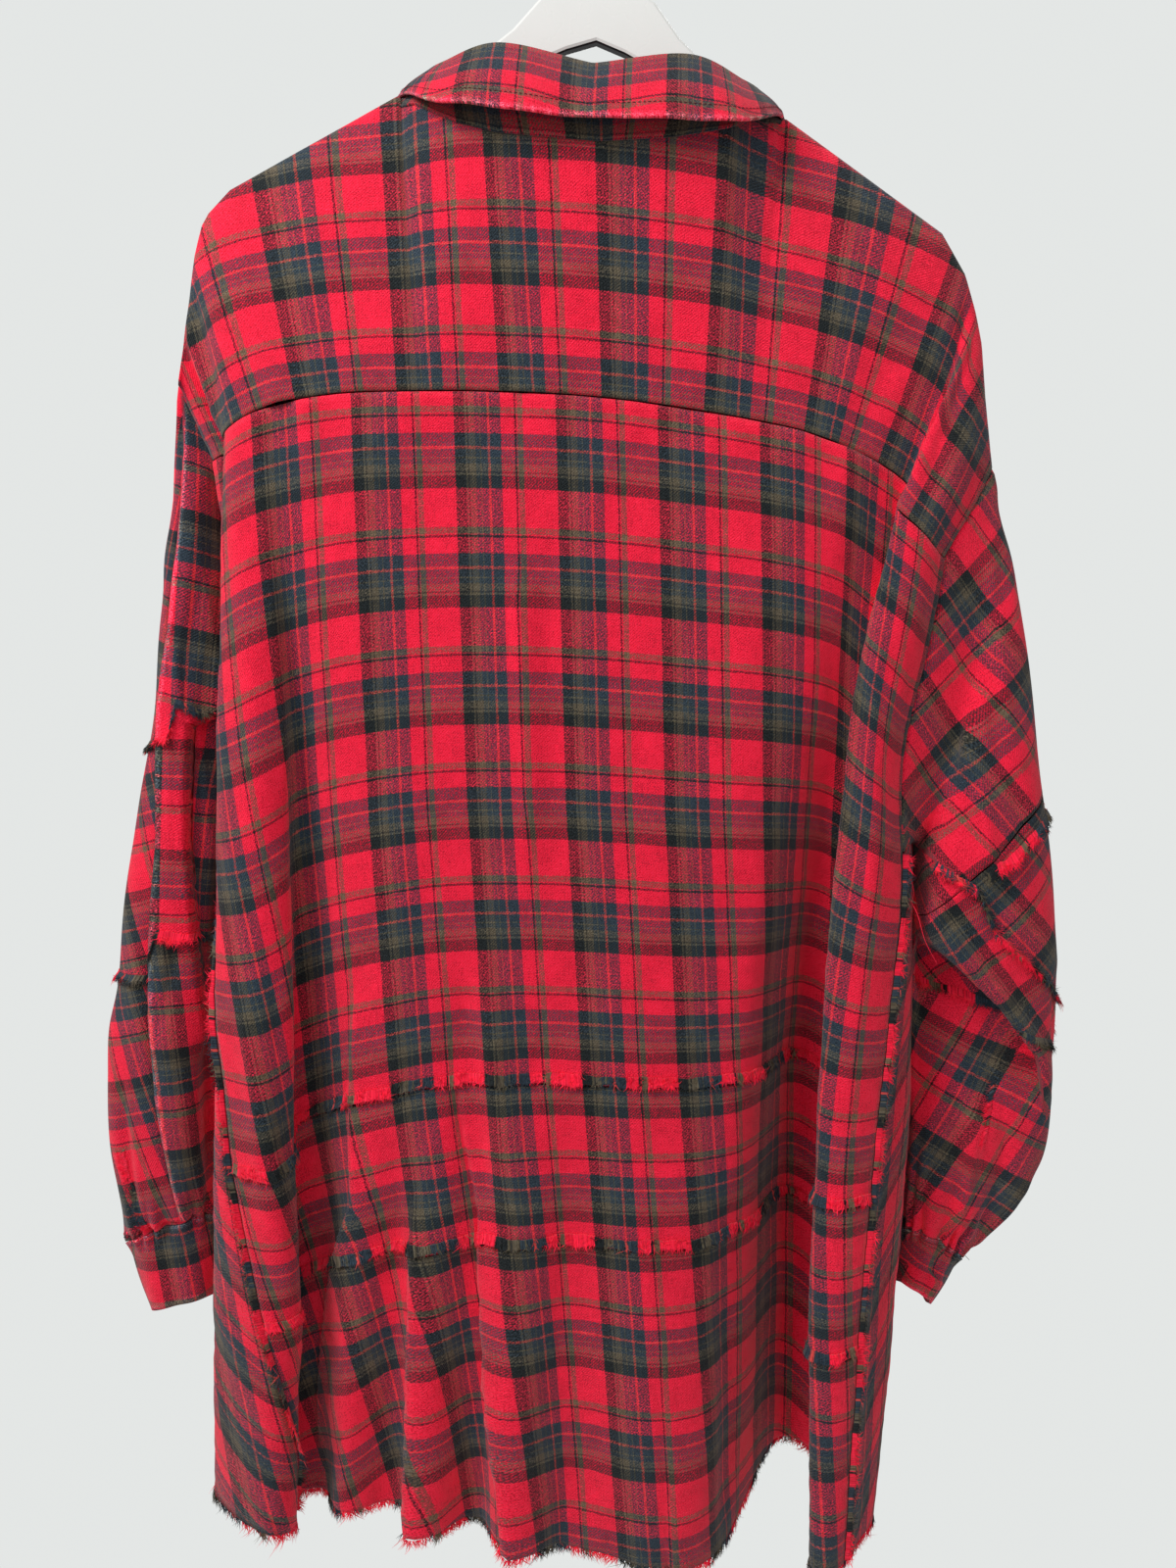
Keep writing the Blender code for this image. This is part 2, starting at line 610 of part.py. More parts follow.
def neck_seam(angle):
    """The neck seam at an angle round the neck: yoke behind, fronts before."""
    side = -1 if angle < 0 else 1
    neck_s = NECK_S[0] if side < 0 else NECK_S[1]
    if abs(angle) <= 90:
        return yoke_point(neck_s * abs(angle) / 90, 1.0)
    if abs(angle) <= 112:
        return yoke_point(neck_s, 1 + (abs(angle) - 90) / 22)
    return front_top(side, 0.55 + 0.44 * (abs(angle) - 112) / (172 - 112))


def make_collar():
    half = [0, 12, 24, 35, 46, 56, 64, 72, 79, 84.7, 90, 97, 106, 118, 131, 144, 157, 170]
    turns = [-turn for turn in half[:0:-1]] + half
    stand = []
    fall = []
    for angle in turns:
        top, edge = collar_frame(angle)
        seam = neck_seam(angle)
        up = (top - seam) / np.linalg.norm(top - seam)
        out = edge - top
        out[2] = 0
        out /= np.linalg.norm(out)
        over_arm = 0.0045 * math.exp(-((abs(angle) - 87) / 14) ** 2)
        stand.append([seam + up * (0.0025 + over_arm), (seam + top) / 2, top - up * 0.0020])
        lip = top + up * 0.0006
        fall.append([lip - out * 0.0002, lip + out * 0.0036 - up * 0.0004,
                     lip + (edge - lip) * 0.40 + out * 0.0026, edge])
    wall("collar_stand", np.array(stand).transpose(1, 0, 2), "trim")
    wall("collar_fall", np.array(fall).transpose(1, 0, 2), "body")


# ---------------------------------------------------------------- sleeves
def resample(line, parts):
    """Points at even parts of the length of a line."""
    line = np.array(line)
    length = np.concatenate([[0], np.cumsum(np.linalg.norm(np.diff(line, axis=0), axis=1))])
    return np.array([[np.interp(p * length[-1], length, line[:, k]) for k in range(3)] for p in parts])


def armhole_ring(side, count):
    """The armhole's edge as a ring: from the shoulder down the back, and up the front again."""
    end = side * HALF_BACK
    back = [yoke_point(end, q) for q in np.linspace(1, 0, 6)]
    back += [body_point(end, t) for t in np.linspace(0.01, UNDERARM, 10)]
    front = [yoke_point(end, q) for q in np.linspace(1, 2, 6)]
    front += [body_point(side * (HALF_BACK + armhole_gap(side, t)), t) for t in np.linspace(FRONT_TOP, UNDERARM, 8)]
    half = count // 2
    parts = np.linspace(0, 1, half + 1)
    down = resample(back, parts)
    up = resample(front, parts)[::-1]
    return np.vstack([down, up[1:-1]])


def sleeve_ring(row, count):
    """A ring of the sleeve from its table row, starting at the outer end and passing behind (-Y)."""
    _, outer, inner, y_mid, deep = row
    outer, inner = np.array(outer), np.array(inner)
    ring = []
    for k in range(count):
        angle = 2 * math.pi * k / count
        x, z = (outer + inner) / 2 + (outer - inner) / 2 * math.cos(angle)
        ring.append((x, y_mid - deep * math.sin(angle), z))
    return np.array(ring)


def sleeve_surface(side, table, count=16):
    """Control rings of a sleeve and their names, the first a seam's width off the armhole."""
    start = armhole_ring(side, count)
    depth = (start[:, 2] - start[0, 2]) / (start[count // 2, 2] - start[0, 2])
    start[:, 0] += side * 0.0032
    start[:, 2] -= 0.0026 * depth
    rings = [start] + [sleeve_ring(row, count) for row in table]
    names = ["armhole"] + [row[0] for row in table]
    return np.array(rings), names


def make_sleeves():
    for word, side, table in (("left", -1, SLEEVE_LEFT), ("right", 1, SLEEVE_RIGHT)):
        rings, names = sleeve_surface(side, table)
        flat = rings.reshape(len(rings), -1)
        knots = np.arange(len(rings))

        def ring_at(place):
            return smooth(knots, flat, np.array([place]))[0].reshape(-1, 3)

        tiers = (("upper", "sleeve", 0, names.index("seam a"), 5), ("middle", "tier", names.index("seam a"),
                 names.index("seam b"), 3), ("lower", "sleeve", names.index("seam b"), names.index("cuff"), 5))
        for name, finish, first, last, rows in tiers:
            places = np.linspace(first, last, rows + 1)
            places[0] += 0.014 * (first > 0)
            places[-1] -= 0.014
            grid = np.array([ring_at(place) for place in places])
            if side < 0:
                grid = grid[:, ::-1]
            wall(f"sleeve_{word}_{name}", grid, finish, closed=True)
        last = len(rings) - 1
        grid = np.array([ring_at(place) for place in np.linspace(names.index("cuff") + 0.03, last, 3)])
        if side < 0:
            grid = grid[:, ::-1]
        wall(f"cuff_{word}", grid, "trim", closed=True)
        front = ring_at(last - 0.5)[len(rings[0]) * 3 // 4]
        button(f"cuff_button_{word}", front + np.array([0, CLOTH / 2 + 0.0010, 0]), (0, 1, 0))


clear_scene()
tunic = collection("tunic shirt on a hanger")
make_hanger()
make_hook()
make_yoke()
make_back()
make_fronts()
make_placket()
make_collar()
make_sleeves()
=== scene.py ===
# %% [markdown]
# A loose flannel tunic shirt on a flat white hanger, seen from its back. The CAD solids are the frame:
# every piece made here rides on the same root and stands for one of them.

# %% Frame
import json
import math

import bmesh
import bpy
import numpy as np
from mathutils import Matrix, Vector

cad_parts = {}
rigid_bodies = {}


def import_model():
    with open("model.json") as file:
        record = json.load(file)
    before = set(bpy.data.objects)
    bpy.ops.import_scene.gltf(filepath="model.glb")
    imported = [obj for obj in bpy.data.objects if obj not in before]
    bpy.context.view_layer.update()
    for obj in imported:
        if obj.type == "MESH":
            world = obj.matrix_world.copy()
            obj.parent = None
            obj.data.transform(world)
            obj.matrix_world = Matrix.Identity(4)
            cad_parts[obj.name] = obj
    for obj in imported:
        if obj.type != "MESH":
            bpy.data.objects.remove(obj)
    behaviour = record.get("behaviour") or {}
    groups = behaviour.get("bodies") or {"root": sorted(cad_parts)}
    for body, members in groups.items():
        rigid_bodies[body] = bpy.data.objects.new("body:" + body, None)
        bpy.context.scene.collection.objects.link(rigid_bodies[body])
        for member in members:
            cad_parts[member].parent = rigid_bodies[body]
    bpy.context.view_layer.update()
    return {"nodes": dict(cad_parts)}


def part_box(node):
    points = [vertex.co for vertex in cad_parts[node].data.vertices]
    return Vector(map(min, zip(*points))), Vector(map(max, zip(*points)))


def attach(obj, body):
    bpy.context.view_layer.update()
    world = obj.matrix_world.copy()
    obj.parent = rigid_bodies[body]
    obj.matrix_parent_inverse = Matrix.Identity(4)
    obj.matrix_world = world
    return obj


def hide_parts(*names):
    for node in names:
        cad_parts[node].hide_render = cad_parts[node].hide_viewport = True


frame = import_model()
print("frame nodes:", len(frame["nodes"]))

# %% [markdown]
# The shirt was cut from flat cloth, so every place on it has two names: s, metres round the body from
# the centre back, and t, metres down the cloth from the back yoke seam. The driving sizes are real ones.

# %% Sizes of the shirt
CLOTH = 0.0012                    # wall of the cloth
SEAM_GAP = 0.0012                 # between two panels at a seam
HALF_BACK = 0.29                  # s of the side seams
HALF_GIRTH = 0.58                 # s of the centre front
UNDERARM = 0.19                   # t of the underarm
TIER_1, TIER_2 = 0.433, 0.541     # t of the two tier seams
FRONT_TOP = 0.05                  # t that the top of a front's side starts from
TILT = math.radians(3.3)          # turn of the hanger
NECK_U, NECK_W = 0.12, -0.1263    # neck point on the hanger's own axes
TIP_U, TIP_W = 0.2227, -0.1876    # tip of its arm
COVER = CLOTH / 2 + 0.0012        # from the arm to the middle of the cloth
CROWN = 0.0062                    # half breadth of the cloth that lies flat on an arm
NECK_S = (-.118, 0.098)           # s of the neck points
TIP_S = (-.200, 0.175)            # s over the tips of the arms
NECK_FRONT_Z, NECK_FRONT_Y = -.215, 0.050
REPEAT = (0.0625, 0.0718)         # of the check, across the cloth and along it

# %% [markdown]
# The body's plan is a closed curve that changes down the shirt. Each row is a crest or a hollow of the
# big folds, read at four levels: the two long rolls at the sides are rows of their own.

# %% Plan of the body
LEVELS = (0.0, 0.15, 0.43, 0.76)
BODY = (
    ("centre back",      (0.000, -.037), (0.000, -.041), (0.000, -.042), (0.000, -.052)),
    ("left middle",      (-.060, -.037), (-.060, -.041), (-.060, -.041), (-.060, -.034)),
    ("left main",        (-.110, -.037), (-.110, -.041), (-.110, -.038), (-.110, -.026)),
    ("left lip",         (-.170, -.036), (-.165, -.039), (-.157, -.032), (-.168, -.020)),
    ("left floor",       (-.200, -.034), (-.192, -.032), (-.200, -.016), (-.204, -.002)),
    ("left tuck",        (-.212, -.033), (-.200, -.036), (-.211, -.027), (-.224, -.016)),
    ("left roll edge",   (-.220, -.032), (-.205, -.044), (-.201, -.046), (-.212, -.042)),
    ("left crown",       (-.234, -.026), (-.222, -.050), (-.219, -.058), (-.226, -.057)),
    ("left outline",     (-.239, -.015), (-.243, -.036), (-.255, -.040), (-.269, -.035)),
    ("left flank",       (-.233, -.002), (-.238, -.012), (-.250, -.010), (-.260, -.004)),
    ("left side",        (-.247, -.002), (-.234, 0.004), (-.242, 0.010), (-.250, 0.016)),
    ("left front fold",  (-.246, 0.018), (-.234, 0.024), (-.240, 0.034), (-.248, 0.042)),
    ("left front",       (-.150, 0.040), (-.150, 0.045), (-.150, 0.052), (-.160, 0.060)),
    ("centre front",     (-.008, 0.044), (-.008, 0.050), (-.008, 0.058), (-.010, 0.064)),
    ("right front",      (0.130, 0.040), (0.130, 0.045), (0.130, 0.052), (0.140, 0.060)),
    ("right front fold", (0.222, 0.016), (0.205, 0.024), (0.196, 0.034), (0.180, 0.042)),
    ("right flank",      (0.226, -.004), (0.209, 0.000), (0.204, 0.006), (0.186, 0.006)),
    ("right outline",    (0.222, -.018), (0.207, -.017), (0.205, -.020), (0.187, -.022)),
    ("right groove",     (0.218, -.028), (0.203, -.031), (0.184, -.035), (0.173, -.041)),
    ("right seam",       (0.211, -.037), (0.197, -.043), (0.172, -.055), (0.160, -.056)),
    ("right crown",      (0.195, -.050), (0.176, -.056), (0.150, -.063), (0.148, -.062)),
    ("right roll edge",  (0.179, -.046), (0.154, -.048), (0.138, -.050), (0.143, -.048)),
    ("right tuck",       (0.189, -.029), (0.172, -.026), (0.180, -.002), (0.170, 0.018)),
    ("right floor",      (0.176, -.031), (0.155, -.024), (0.138, 0.020), (0.136, 0.044)),
    ("right lip",        (0.155, -.035), (0.125, -.036), (0.100, -.028), (0.098, -.010)),
    ("right main",       (0.110, -.037), (0.090, -.040), (0.070, -.040), (0.072, -.048)),
    ("right middle",     (0.050, -.037), (0.045, -.041), (0.035, -.042), (0.036, -.060)),
)
FRONT_ROW, SEAM_ROW = 13, 19   # rows at the centre front and at the right side seam
PER_ROW = 20                   # steps from row to row
SLACK_FROM = 0.12              # s from which the right of the back takes up the rolls' slack

# Flutes of the hem: name, x at the middle tier, x at the hem, half width, reach to the back, lean in x.
FLUTES = (
    ("flute a", -.158, -.176, 0.026, 0.020, -.007),
    ("flute b", -.110, -.118, 0.027, 0.023, -.008),
    ("flute c", -.050, -.056, 0.030, 0.022, -.009),
)
FLUTE_TOP = 0.42

# Heights along s: s, z of the yoke seam, of tier seam 1, of tier seam 2, of the hem.
HEIGHTS = (
    (-.58, -.300, -.733, -.841, -1.050),
    (-.36, -.318, -.770, -.876, -1.030),
    (-.29, -.335, -.795, -.900, -1.053),
    (-.25, -.326, -.793, -.897, -1.052),
    (-.21, -.309, -.775, -.880, -1.045),
    (-.17, -.3015, -.757, -.862, -1.048),
    (-.12, -.2995, -.742, -.852, -1.052),
    (-.06, -.300, -.737, -.846, -1.056),
    (0.00, -.3035, -.7385, -.848, -1.062),
    (0.06, -.3115, -.740, -.848, -1.068),
    (0.12, -.3225, -.739, -.845, -1.062),
    (0.16, -.333, -.743, -.848, -1.045),
    (0.21, -.352, -.790, -.895, -1.060),
    (0.25, -.378, -.810, -.915, -1.068),
    (0.29, -.400, -.812, -.917, -1.068),
    (0.36, -.360, -.790, -.890, -1.055),
    (0.58, -.300, -.733, -.841, -1.050),
)
print("plan rows:", len(BODY), "levels:", len(LEVELS))

# %% [markdown]
# Tables become smooth curves with a cubic between rows. The plan is then laid out once on a fine grid of
# s and t, so that any place on the cloth is found by blending its four neighbours.


# %% Cloth of the body
def hermite(part, first, last, slope_first, slope_last):
    return ((1 + 2 * part) * (1 - part) ** 2 * first + part * (1 - part) ** 2 * slope_first
            + part ** 2 * (3 - 2 * part) * last + part ** 2 * (part - 1) * slope_last)


def smooth(knots, values, where):
    """Cubic through rows of values at rising knots."""
    knots = np.asarray(knots, float)
    values = np.asarray(values, float)
    where = np.clip(np.asarray(where, float), knots[0], knots[-1])
    cell = np.clip(np.searchsorted(knots, where, side="right") - 1, 0, len(knots) - 2)
    slopes = np.gradient(values, knots, axis=0)
    width = knots[cell + 1] - knots[cell]
    part = (where - knots[cell]) / width
    if values.ndim == 2:
        part = part[..., None]
        width = width[..., None]
    return hermite(part, values[cell], values[cell + 1], width * slopes[cell], width * slopes[cell + 1])


def between(grid, row, column):
    """A grid read between its places."""
    i, j = row.astype(int), column.astype(int)
    a, b = row - i, column - j
    if grid.ndim == 3:
        a, b = a[..., None], b[..., None]
    return ((grid[i, j] * (1 - b) + grid[i, j + 1] * b) * (1 - a)
            + (grid[i + 1, j] * (1 - b) + grid[i + 1, j + 1] * b) * a)


def run_down(points):
    """Running length along a line, or down each column of a grid."""
    steps = np.linalg.norm(np.diff(points, axis=0), axis=-1)
    return np.concatenate([np.zeros((1, *steps.shape[1:])), np.cumsum(steps, axis=0)])


def place_at(line, length, where):
    """Places on a line at running lengths."""
    return np.stack([np.interp(where, length, line[:, k]) for k in range(line.shape[1])], axis=-1)


def unit(way):
    return way / np.maximum(np.linalg.norm(way, axis=-1, keepdims=True), 1e-12)


def body_curve(t):
    """The body's plan at level t: a closed curve, its running length, and where its front and seam are."""
    rows = np.array([row[1:] for row in BODY])
    places = np.array([smooth(LEVELS, row, t) for row in rows])
    count = len(places)
    steps = np.arange(0, count, 1 / PER_ROW)
    first = np.floor(steps).astype(int)
    part = (steps - first)[:, None]
    p0, p1, p2, p3 = (places[(first + k) % count] for k in (-1, 0, 1, 2))
    line = 0.5 * (2 * p1 + (p2 - p0) * part + (2 * p0 - 5 * p1 + 4 * p2 - p3) * part ** 2
                  + (3 * p1 - p0 - 3 * p2 + p3) * part ** 3)
    grow = np.clip((t - FLUTE_TOP) / (LEVELS[-1] - FLUTE_TOP), 0, 1)
    behind = line[:, 1] < 0.0
    for _, x_top, x_hem, width, reach, lean in FLUTES:
        middle = x_top + (x_hem - x_top) * grow
        near = np.clip(np.abs(line[:, 0] - middle) / width, 0, 1)
        bump = (0.5 + 0.5 * np.cos(math.pi * near)) * grow ** 0.8 * behind
        line = line + np.stack([lean * bump, -reach * bump], axis=1)
    closed = np.vstack([line, line[:1]])
    length = run_down(closed)
    return closed, length, length[FRONT_ROW * PER_ROW], length[-1] - length[SEAM_ROW * PER_ROW]


S_STEP, T_STEP = 0.002, 0.004
S_GRID = np.linspace(-HALF_GIRTH, HALF_GIRTH, 581)
T_GRID = np.linspace(0.0, 0.80, 201)


def plan_rows():
    """x and y of the cloth for every s and t of the grid."""
    table = np.zeros((len(T_GRID), len(S_GRID), 2))
    for row, t in enumerate(T_GRID):
        closed, length, to_front, to_seam = body_curve(t)
        whole = length[-1]
        left = np.interp(-S_GRID, (0, HALF_BACK, HALF_GIRTH), (0, HALF_BACK, to_front))
        right = np.interp(S_GRID, (0, SLACK_FROM, HALF_BACK, HALF_GIRTH),
                          (0, SLACK_FROM, to_seam, whole - to_front))
        at = np.where(S_GRID <= 0, left, (whole - right) % whole)
        table[row, :, 0] = np.interp(at, length, closed[:, 0])
        table[row, :, 1] = np.interp(at, length, closed[:, 1])
        pull = 0.011 * math.exp(-((t - 0.13) / 0.065) ** 2)   # the right armhole pulls the cloth inward
        table[row, :, 0] -= pull * np.clip((table[row, :, 0] - 0.15) / 0.045, 0, 1)
    return table


PLAN = plan_rows()
HEIGHT_S = [row[0] for row in HEIGHTS]
HEIGHT_Z = np.array([row[1:] for row in HEIGHTS])


def heights(s):
    return smooth(HEIGHT_S, HEIGHT_Z, s)


def hem_t(s):
    """t at which the cloth ends."""
    z = heights(s)
    return TIER_2 + z[..., 2] - z[..., 3]


def body_point(s, t):
    """Places of the back and fronts at s and t, for whole arrays."""
    s, t = np.broadcast_arrays(np.asarray(s, float), np.asarray(t, float))
    plan = between(PLAN, np.clip(t / T_STEP, 0, len(T_GRID) - 1.001),
                   np.clip((s + HALF_GIRTH) / S_STEP, 0, len(S_GRID) - 1.001))
    z = heights(s)
    upper = z[..., 0] + (z[..., 1] - z[..., 0]) * t / TIER_1
    middle = z[..., 1] + (z[..., 2] - z[..., 1]) * (t - TIER_1) / (TIER_2 - TIER_1)
    lower = z[..., 2] - (t - TIER_2)
    drop = np.where(t < TIER_1, upper, np.where(t < TIER_2, middle, lower))
    return np.concatenate([plan, drop[..., None]], axis=-1)


print("plan grid:", PLAN.shape, "hem drop at the centre back: %.3f m" % hem_t(np.array(0.0)))

# %% [markdown]
# The yoke hangs from a line over the shoulders: on the hanger's arms, down past their tips as the dropped
# shoulder, and round the neck. The cloth lies flat over each arm for a finger's breadth, then falls.

# %% Yoke, shoulders and front
YOKE_TOP_LEFT = (
    (-.29, -.2705, 0.000, -.2896),
    (-.26, -.2655, 0.000, -.2640),
    (-.24, -.2605, 0.000, -.2360),
    (-.22, -.2560, 0.000, -.2095),
    (-.2125, -.2500, 0.000, -.1895),
)
YOKE_NECK = (
    (-.111, -.1235, -.0085, -.1236),
    (-.105, -.1141, -.020, -.1263),
    (-.083, -.0891, -.036, -.1427),
    (-.055, -.0647, -.040, -.1500),
    (0.000, -.0040, -.041, -.1553),
    (0.040, 0.0418, -.040, -.1526),
    (0.066, 0.0744, -.037, -.1465),
    (0.084, 0.0895, -.021, -.1358),
    (0.092, 0.1060, -.0085, -.1330),
)
YOKE_TOP_RIGHT = (
    (0.20, 0.2270, 0.000, -.2230),
    (0.22, 0.2340, 0.000, -.2440),
    (0.24, 0.2385, 0.000, -.2640),
    (0.262, 0.2420, 0.000, -.2980),
    (0.29, 0.2482, 0.000, -.3404),
)


def tilted(u, w):
    """A place on the hanger's own axes, turned by its tilt."""
    return u * math.cos(TILT) + w * math.sin(TILT), -u * math.sin(TILT) + w * math.cos(TILT)


def ridge(u):
    """Middle of the cloth over a hanger arm."""
    slope = (TIP_W - NECK_W) / (TIP_U - NECK_U)
    x, z = tilted(u, NECK_W + (abs(u) - NECK_U) * slope + COVER)
    return x, 0.0, z


def top_rows():
    rows = list(YOKE_TOP_LEFT)
    for part in np.linspace(1, 0, 4):
        rows.append((NECK_S[0] + (TIP_S[0] - NECK_S[0]) * part, *ridge(-(NECK_U + (TIP_U - NECK_U) * part))))
    rows.extend(YOKE_NECK)
    for part in np.linspace(0, 1, 4):
        rows.append((NECK_S[1] + (TIP_S[1] - NECK_S[1]) * part, *ridge(NECK_U + (TIP_U - NECK_U) * part)))
    rows.extend(YOKE_TOP_RIGHT)
    return np.array(rows)


TOP = top_rows()


def yoke_top(s):
    return np.stack([np.interp(s, TOP[:, 0], TOP[:, k]) for k in (1, 2, 3)], axis=-1)


def front_seam(s):
    """The front yoke seam, outside the neck points; it eases from the tips of the arms to the armholes."""
    top = yoke_top(s)
    past_tip = np.clip((np.abs(s) - 0.19) / 0.1, 0, 1)
    return np.stack([top[..., 0] - np.sign(s) * 0.010 * past_tip, 0.024 + 0.004 * past_tip,
                     top[..., 2] - 0.045 + 0.018 * past_tip], axis=-1)


FALL = 0.55         # a power below 1 lets the cloth fall away from an arm steeply at first
NECK_PART = 0.55    # part of a front's top edge from the armhole to the neck point
FRONT_GAP = 0.0006  # from the centre front to a front's edge
YOKE_PART = 0.22    # part of a front's height in which it joins the plan of the body


def yoke_point(s, q):
    """The yoke: q 0 at the back seam, 1 on the top line, 2 at the front yoke seam."""
    s, q = np.broadcast_arrays(np.asarray(s, float), np.asarray(q, float))
    top = yoke_top(s)
    crown = CROWN * np.clip(1 - np.minimum(s - NECK_S[0], NECK_S[1] - s) / 0.006, 0, 1)
    back = body_point(s, 0.0)
    away = np.clip(1 - q, 0, 1)
    edge = np.minimum(top[..., 1], -crown)
    back_y = (top[..., 1] + (edge - top[..., 1]) * np.minimum(1.0, away / 0.01)
              + (back[..., 1] - edge) * np.maximum(0.0, away - 0.01) ** FALL)
    back_z = back[..., 2] + (top[..., 2] - back[..., 2]) * np.minimum(1.0, q / 0.99)
    front = front_seam(s)
    over = np.clip(q - 1, 0, 1)
    front_y = (crown * np.minimum(1.0, over / 0.02)
               + (front[..., 1] - crown) * np.maximum(0.0, over - 0.02) ** FALL)
    front_z = top[..., 2] + (front[..., 2] - top[..., 2]) * np.maximum(0.0, over - 0.02)
    behind = q <= 1
    x = np.where(behind, back[..., 0] + (top[..., 0] - back[..., 0]) * q,
                 top[..., 0] + (front[..., 0] - top[..., 0]) * over)
    return np.stack([x, np.where(behind, back_y, front_y), np.where(behind, back_z, front_z)], axis=-1)


def front_top(side, f):
    """Top edge of a front: f 0 at the armhole, NECK_PART at the neck point, 1 at the centre front."""
    f = np.asarray(f, float)
    neck_s = NECK_S[0] if side < 0 else NECK_S[1]
    shoulder = front_seam(side * HALF_BACK + (neck_s - side * HALF_BACK) * np.minimum(f / NECK_PART, 1))
    x_end, z_end = tilted(side * FRONT_GAP, NECK_FRONT_Z)
    turn = np.clip((f - NECK_PART) / (1 - NECK_PART), 0, 1) * math.pi / 2
    rise = np.sin(turn)
    neck = np.stack([x_end + (shoulder[..., 0] - x_end) * np.maximum(np.cos(turn), 0) ** 0.8,
                     shoulder[..., 1] + (NECK_FRONT_Y - shoulder[..., 1]) * rise,
                     shoulder[..., 2] + (z_end - shoulder[..., 2]) * rise ** 1.2], axis=-1)
    return np.where((f <= NECK_PART)[..., None], shoulder, neck)


ARMHOLE = {-1: 0.022, 1: 0.05}   # cloth left open at the top of each armhole


def armhole_gap(side, t):
    """Cloth left open between back and front for the sleeve."""
    widest = ARMHOLE[side]
    return widest * np.sqrt(np.maximum(0.0, 1 - (t / UNDERARM) ** 2)) + SEAM_GAP


def front_point(side, f, w):
    """A front: f 0 at the armhole and side seam, 1 at the centre front; w 0 at the top, 1 at the hem."""
    f, w = np.broadcast_arrays(np.asarray(f, float), np.asarray(w, float))
    part = np.clip((w - YOKE_PART) / (1 - YOKE_PART), 0, 1)
    t = FRONT_TOP + (hem_t(side * (HALF_BACK + (HALF_GIRTH - HALF_BACK) * f)) - FRONT_TOP) * part
    start = HALF_BACK + armhole_gap(side, t)
    s = side * (start + (HALF_GIRTH - FRONT_GAP - start) * f)
    low = body_point(s, t)
    top = front_top(side, f)
    blend = np.clip(w / YOKE_PART, 0, 1)
    point = top + (low - top) * blend[..., None]
    point[..., 1] = top[..., 1] + (low[..., 1] - top[..., 1]) * blend ** 0.7
    return point, s, t


print("shoulder line rows:", len(TOP))

# %% [markdown]
# Brushed flannel is a check woven from one list of stripes, used both along and across the cloth. Where
# two colours cross, the twill shows about half of each. The stripes are a constant colour ramp read at
# the fraction of a repeat, the raised nap blurs their edges, and a Gamma node turns the mixed display
# colours into reflectance. One node group does this, because every cloth piece and thread needs it.

# %% Flannel
STRIPES = (   # start as a part of the repeat, colour as displayed
    ("black",      0.000, (0.110, 0.130, 0.135)),
    ("olive",      0.105, (0.360, 0.330, 0.265)),
    ("dark line",  0.125, (0.170, 0.165, 0.155)),
    ("olive",      0.140, (0.360, 0.325, 0.265)),
    ("navy",       0.200, (0.195, 0.240, 0.270)),
    ("olive hair", 0.243, (0.360, 0.335, 0.265)),
    ("navy",       0.256, (0.180, 0.228, 0.268)),
    ("red line",   0.324, (0.800, 0.260, 0.250)),
    ("navy",       0.346, (0.170, 0.218, 0.258)),
    ("red narrow", 0.455, (0.960, 0.125, 0.240)),
    ("black line", 0.587, (0.130, 0.090, 0.110)),
    ("red hair",   0.608, (0.900, 0.150, 0.240)),
    ("olive line", 0.620, (0.430, 0.340, 0.265)),
    ("red wide",   0.675, (0.970, 0.125, 0.240)),
)


def node(tree, kind, x, y, **values):
    made = tree.nodes.new(kind)
    made.location = (x, y)
    for key, value in values.items():
        setattr(made, key, value)
    return made


def stripes(tree, x, y):
    """A constant ramp of the stripes over one repeat."""
    ramp = node(tree, "ShaderNodeValToRGB", x, y)
    ramp.color_ramp.interpolation = "CONSTANT"
    while len(ramp.color_ramp.elements) < len(STRIPES):
        ramp.color_ramp.elements.new(0.5)
    for element, (_, start, colour) in zip(ramp.color_ramp.elements, STRIPES):
        element.position = start
        element.color = (*colour, 1.0)
    return ramp


def fill(tree, made, values):
    """Give inputs their values, or link them to a socket."""
    for slot, value in values.items():
        if isinstance(value, bpy.types.NodeSocket):
            tree.links.new(value, made.inputs[slot])
        else:
            made.inputs[slot].default_value = value
    return made


def math_node(tree, operation, x, y, *values, clamp=False):
    made = node(tree, "ShaderNodeMath", x, y, operation=operation, use_clamp=clamp)
    return fill(tree, made, dict(enumerate(values))).outputs[0]


def new_material(name):
    made = bpy.data.materials.new(name)
    made.use_nodes = True
    return made, made.node_tree, made.node_tree.nodes["Principled BSDF"]


def noise(tree, x, y, vector, size, detail):
    """Noise between -0.5 and 0.5; size is in cells a repeat, along the cloth and across it."""
    if isinstance(size, tuple):
        stretch = node(tree, "ShaderNodeVectorMath", x - 200, y, operation="MULTIPLY")
        vector, size = fill(tree, stretch, {0: vector, 1: (*size, 1.0)}).outputs[0], 1.0
    made = fill(tree, node(tree, "ShaderNodeTexNoise", x, y),
                {"Scale": size, "Detail": detail, "Vector": vector})
    return math_node(tree, "SUBTRACT", x + 200, y, made.outputs[0], 0.5)


TWILL = 0.0019                     # from rib to rib
RIB_SHARE, SPECKLE_SHARE = 0.17, 2.3   # how strongly ribs and speckle decide which yarn shows
FLUFF = (0.22, 0.030)              # uneven and even part of the pale nap
RUB_AND_HIGHLIGHT = (1.6, 0.30)                  # the same for real wear on the collar and cuffs, and for a painted highlight on the left sleeve's pleat edge
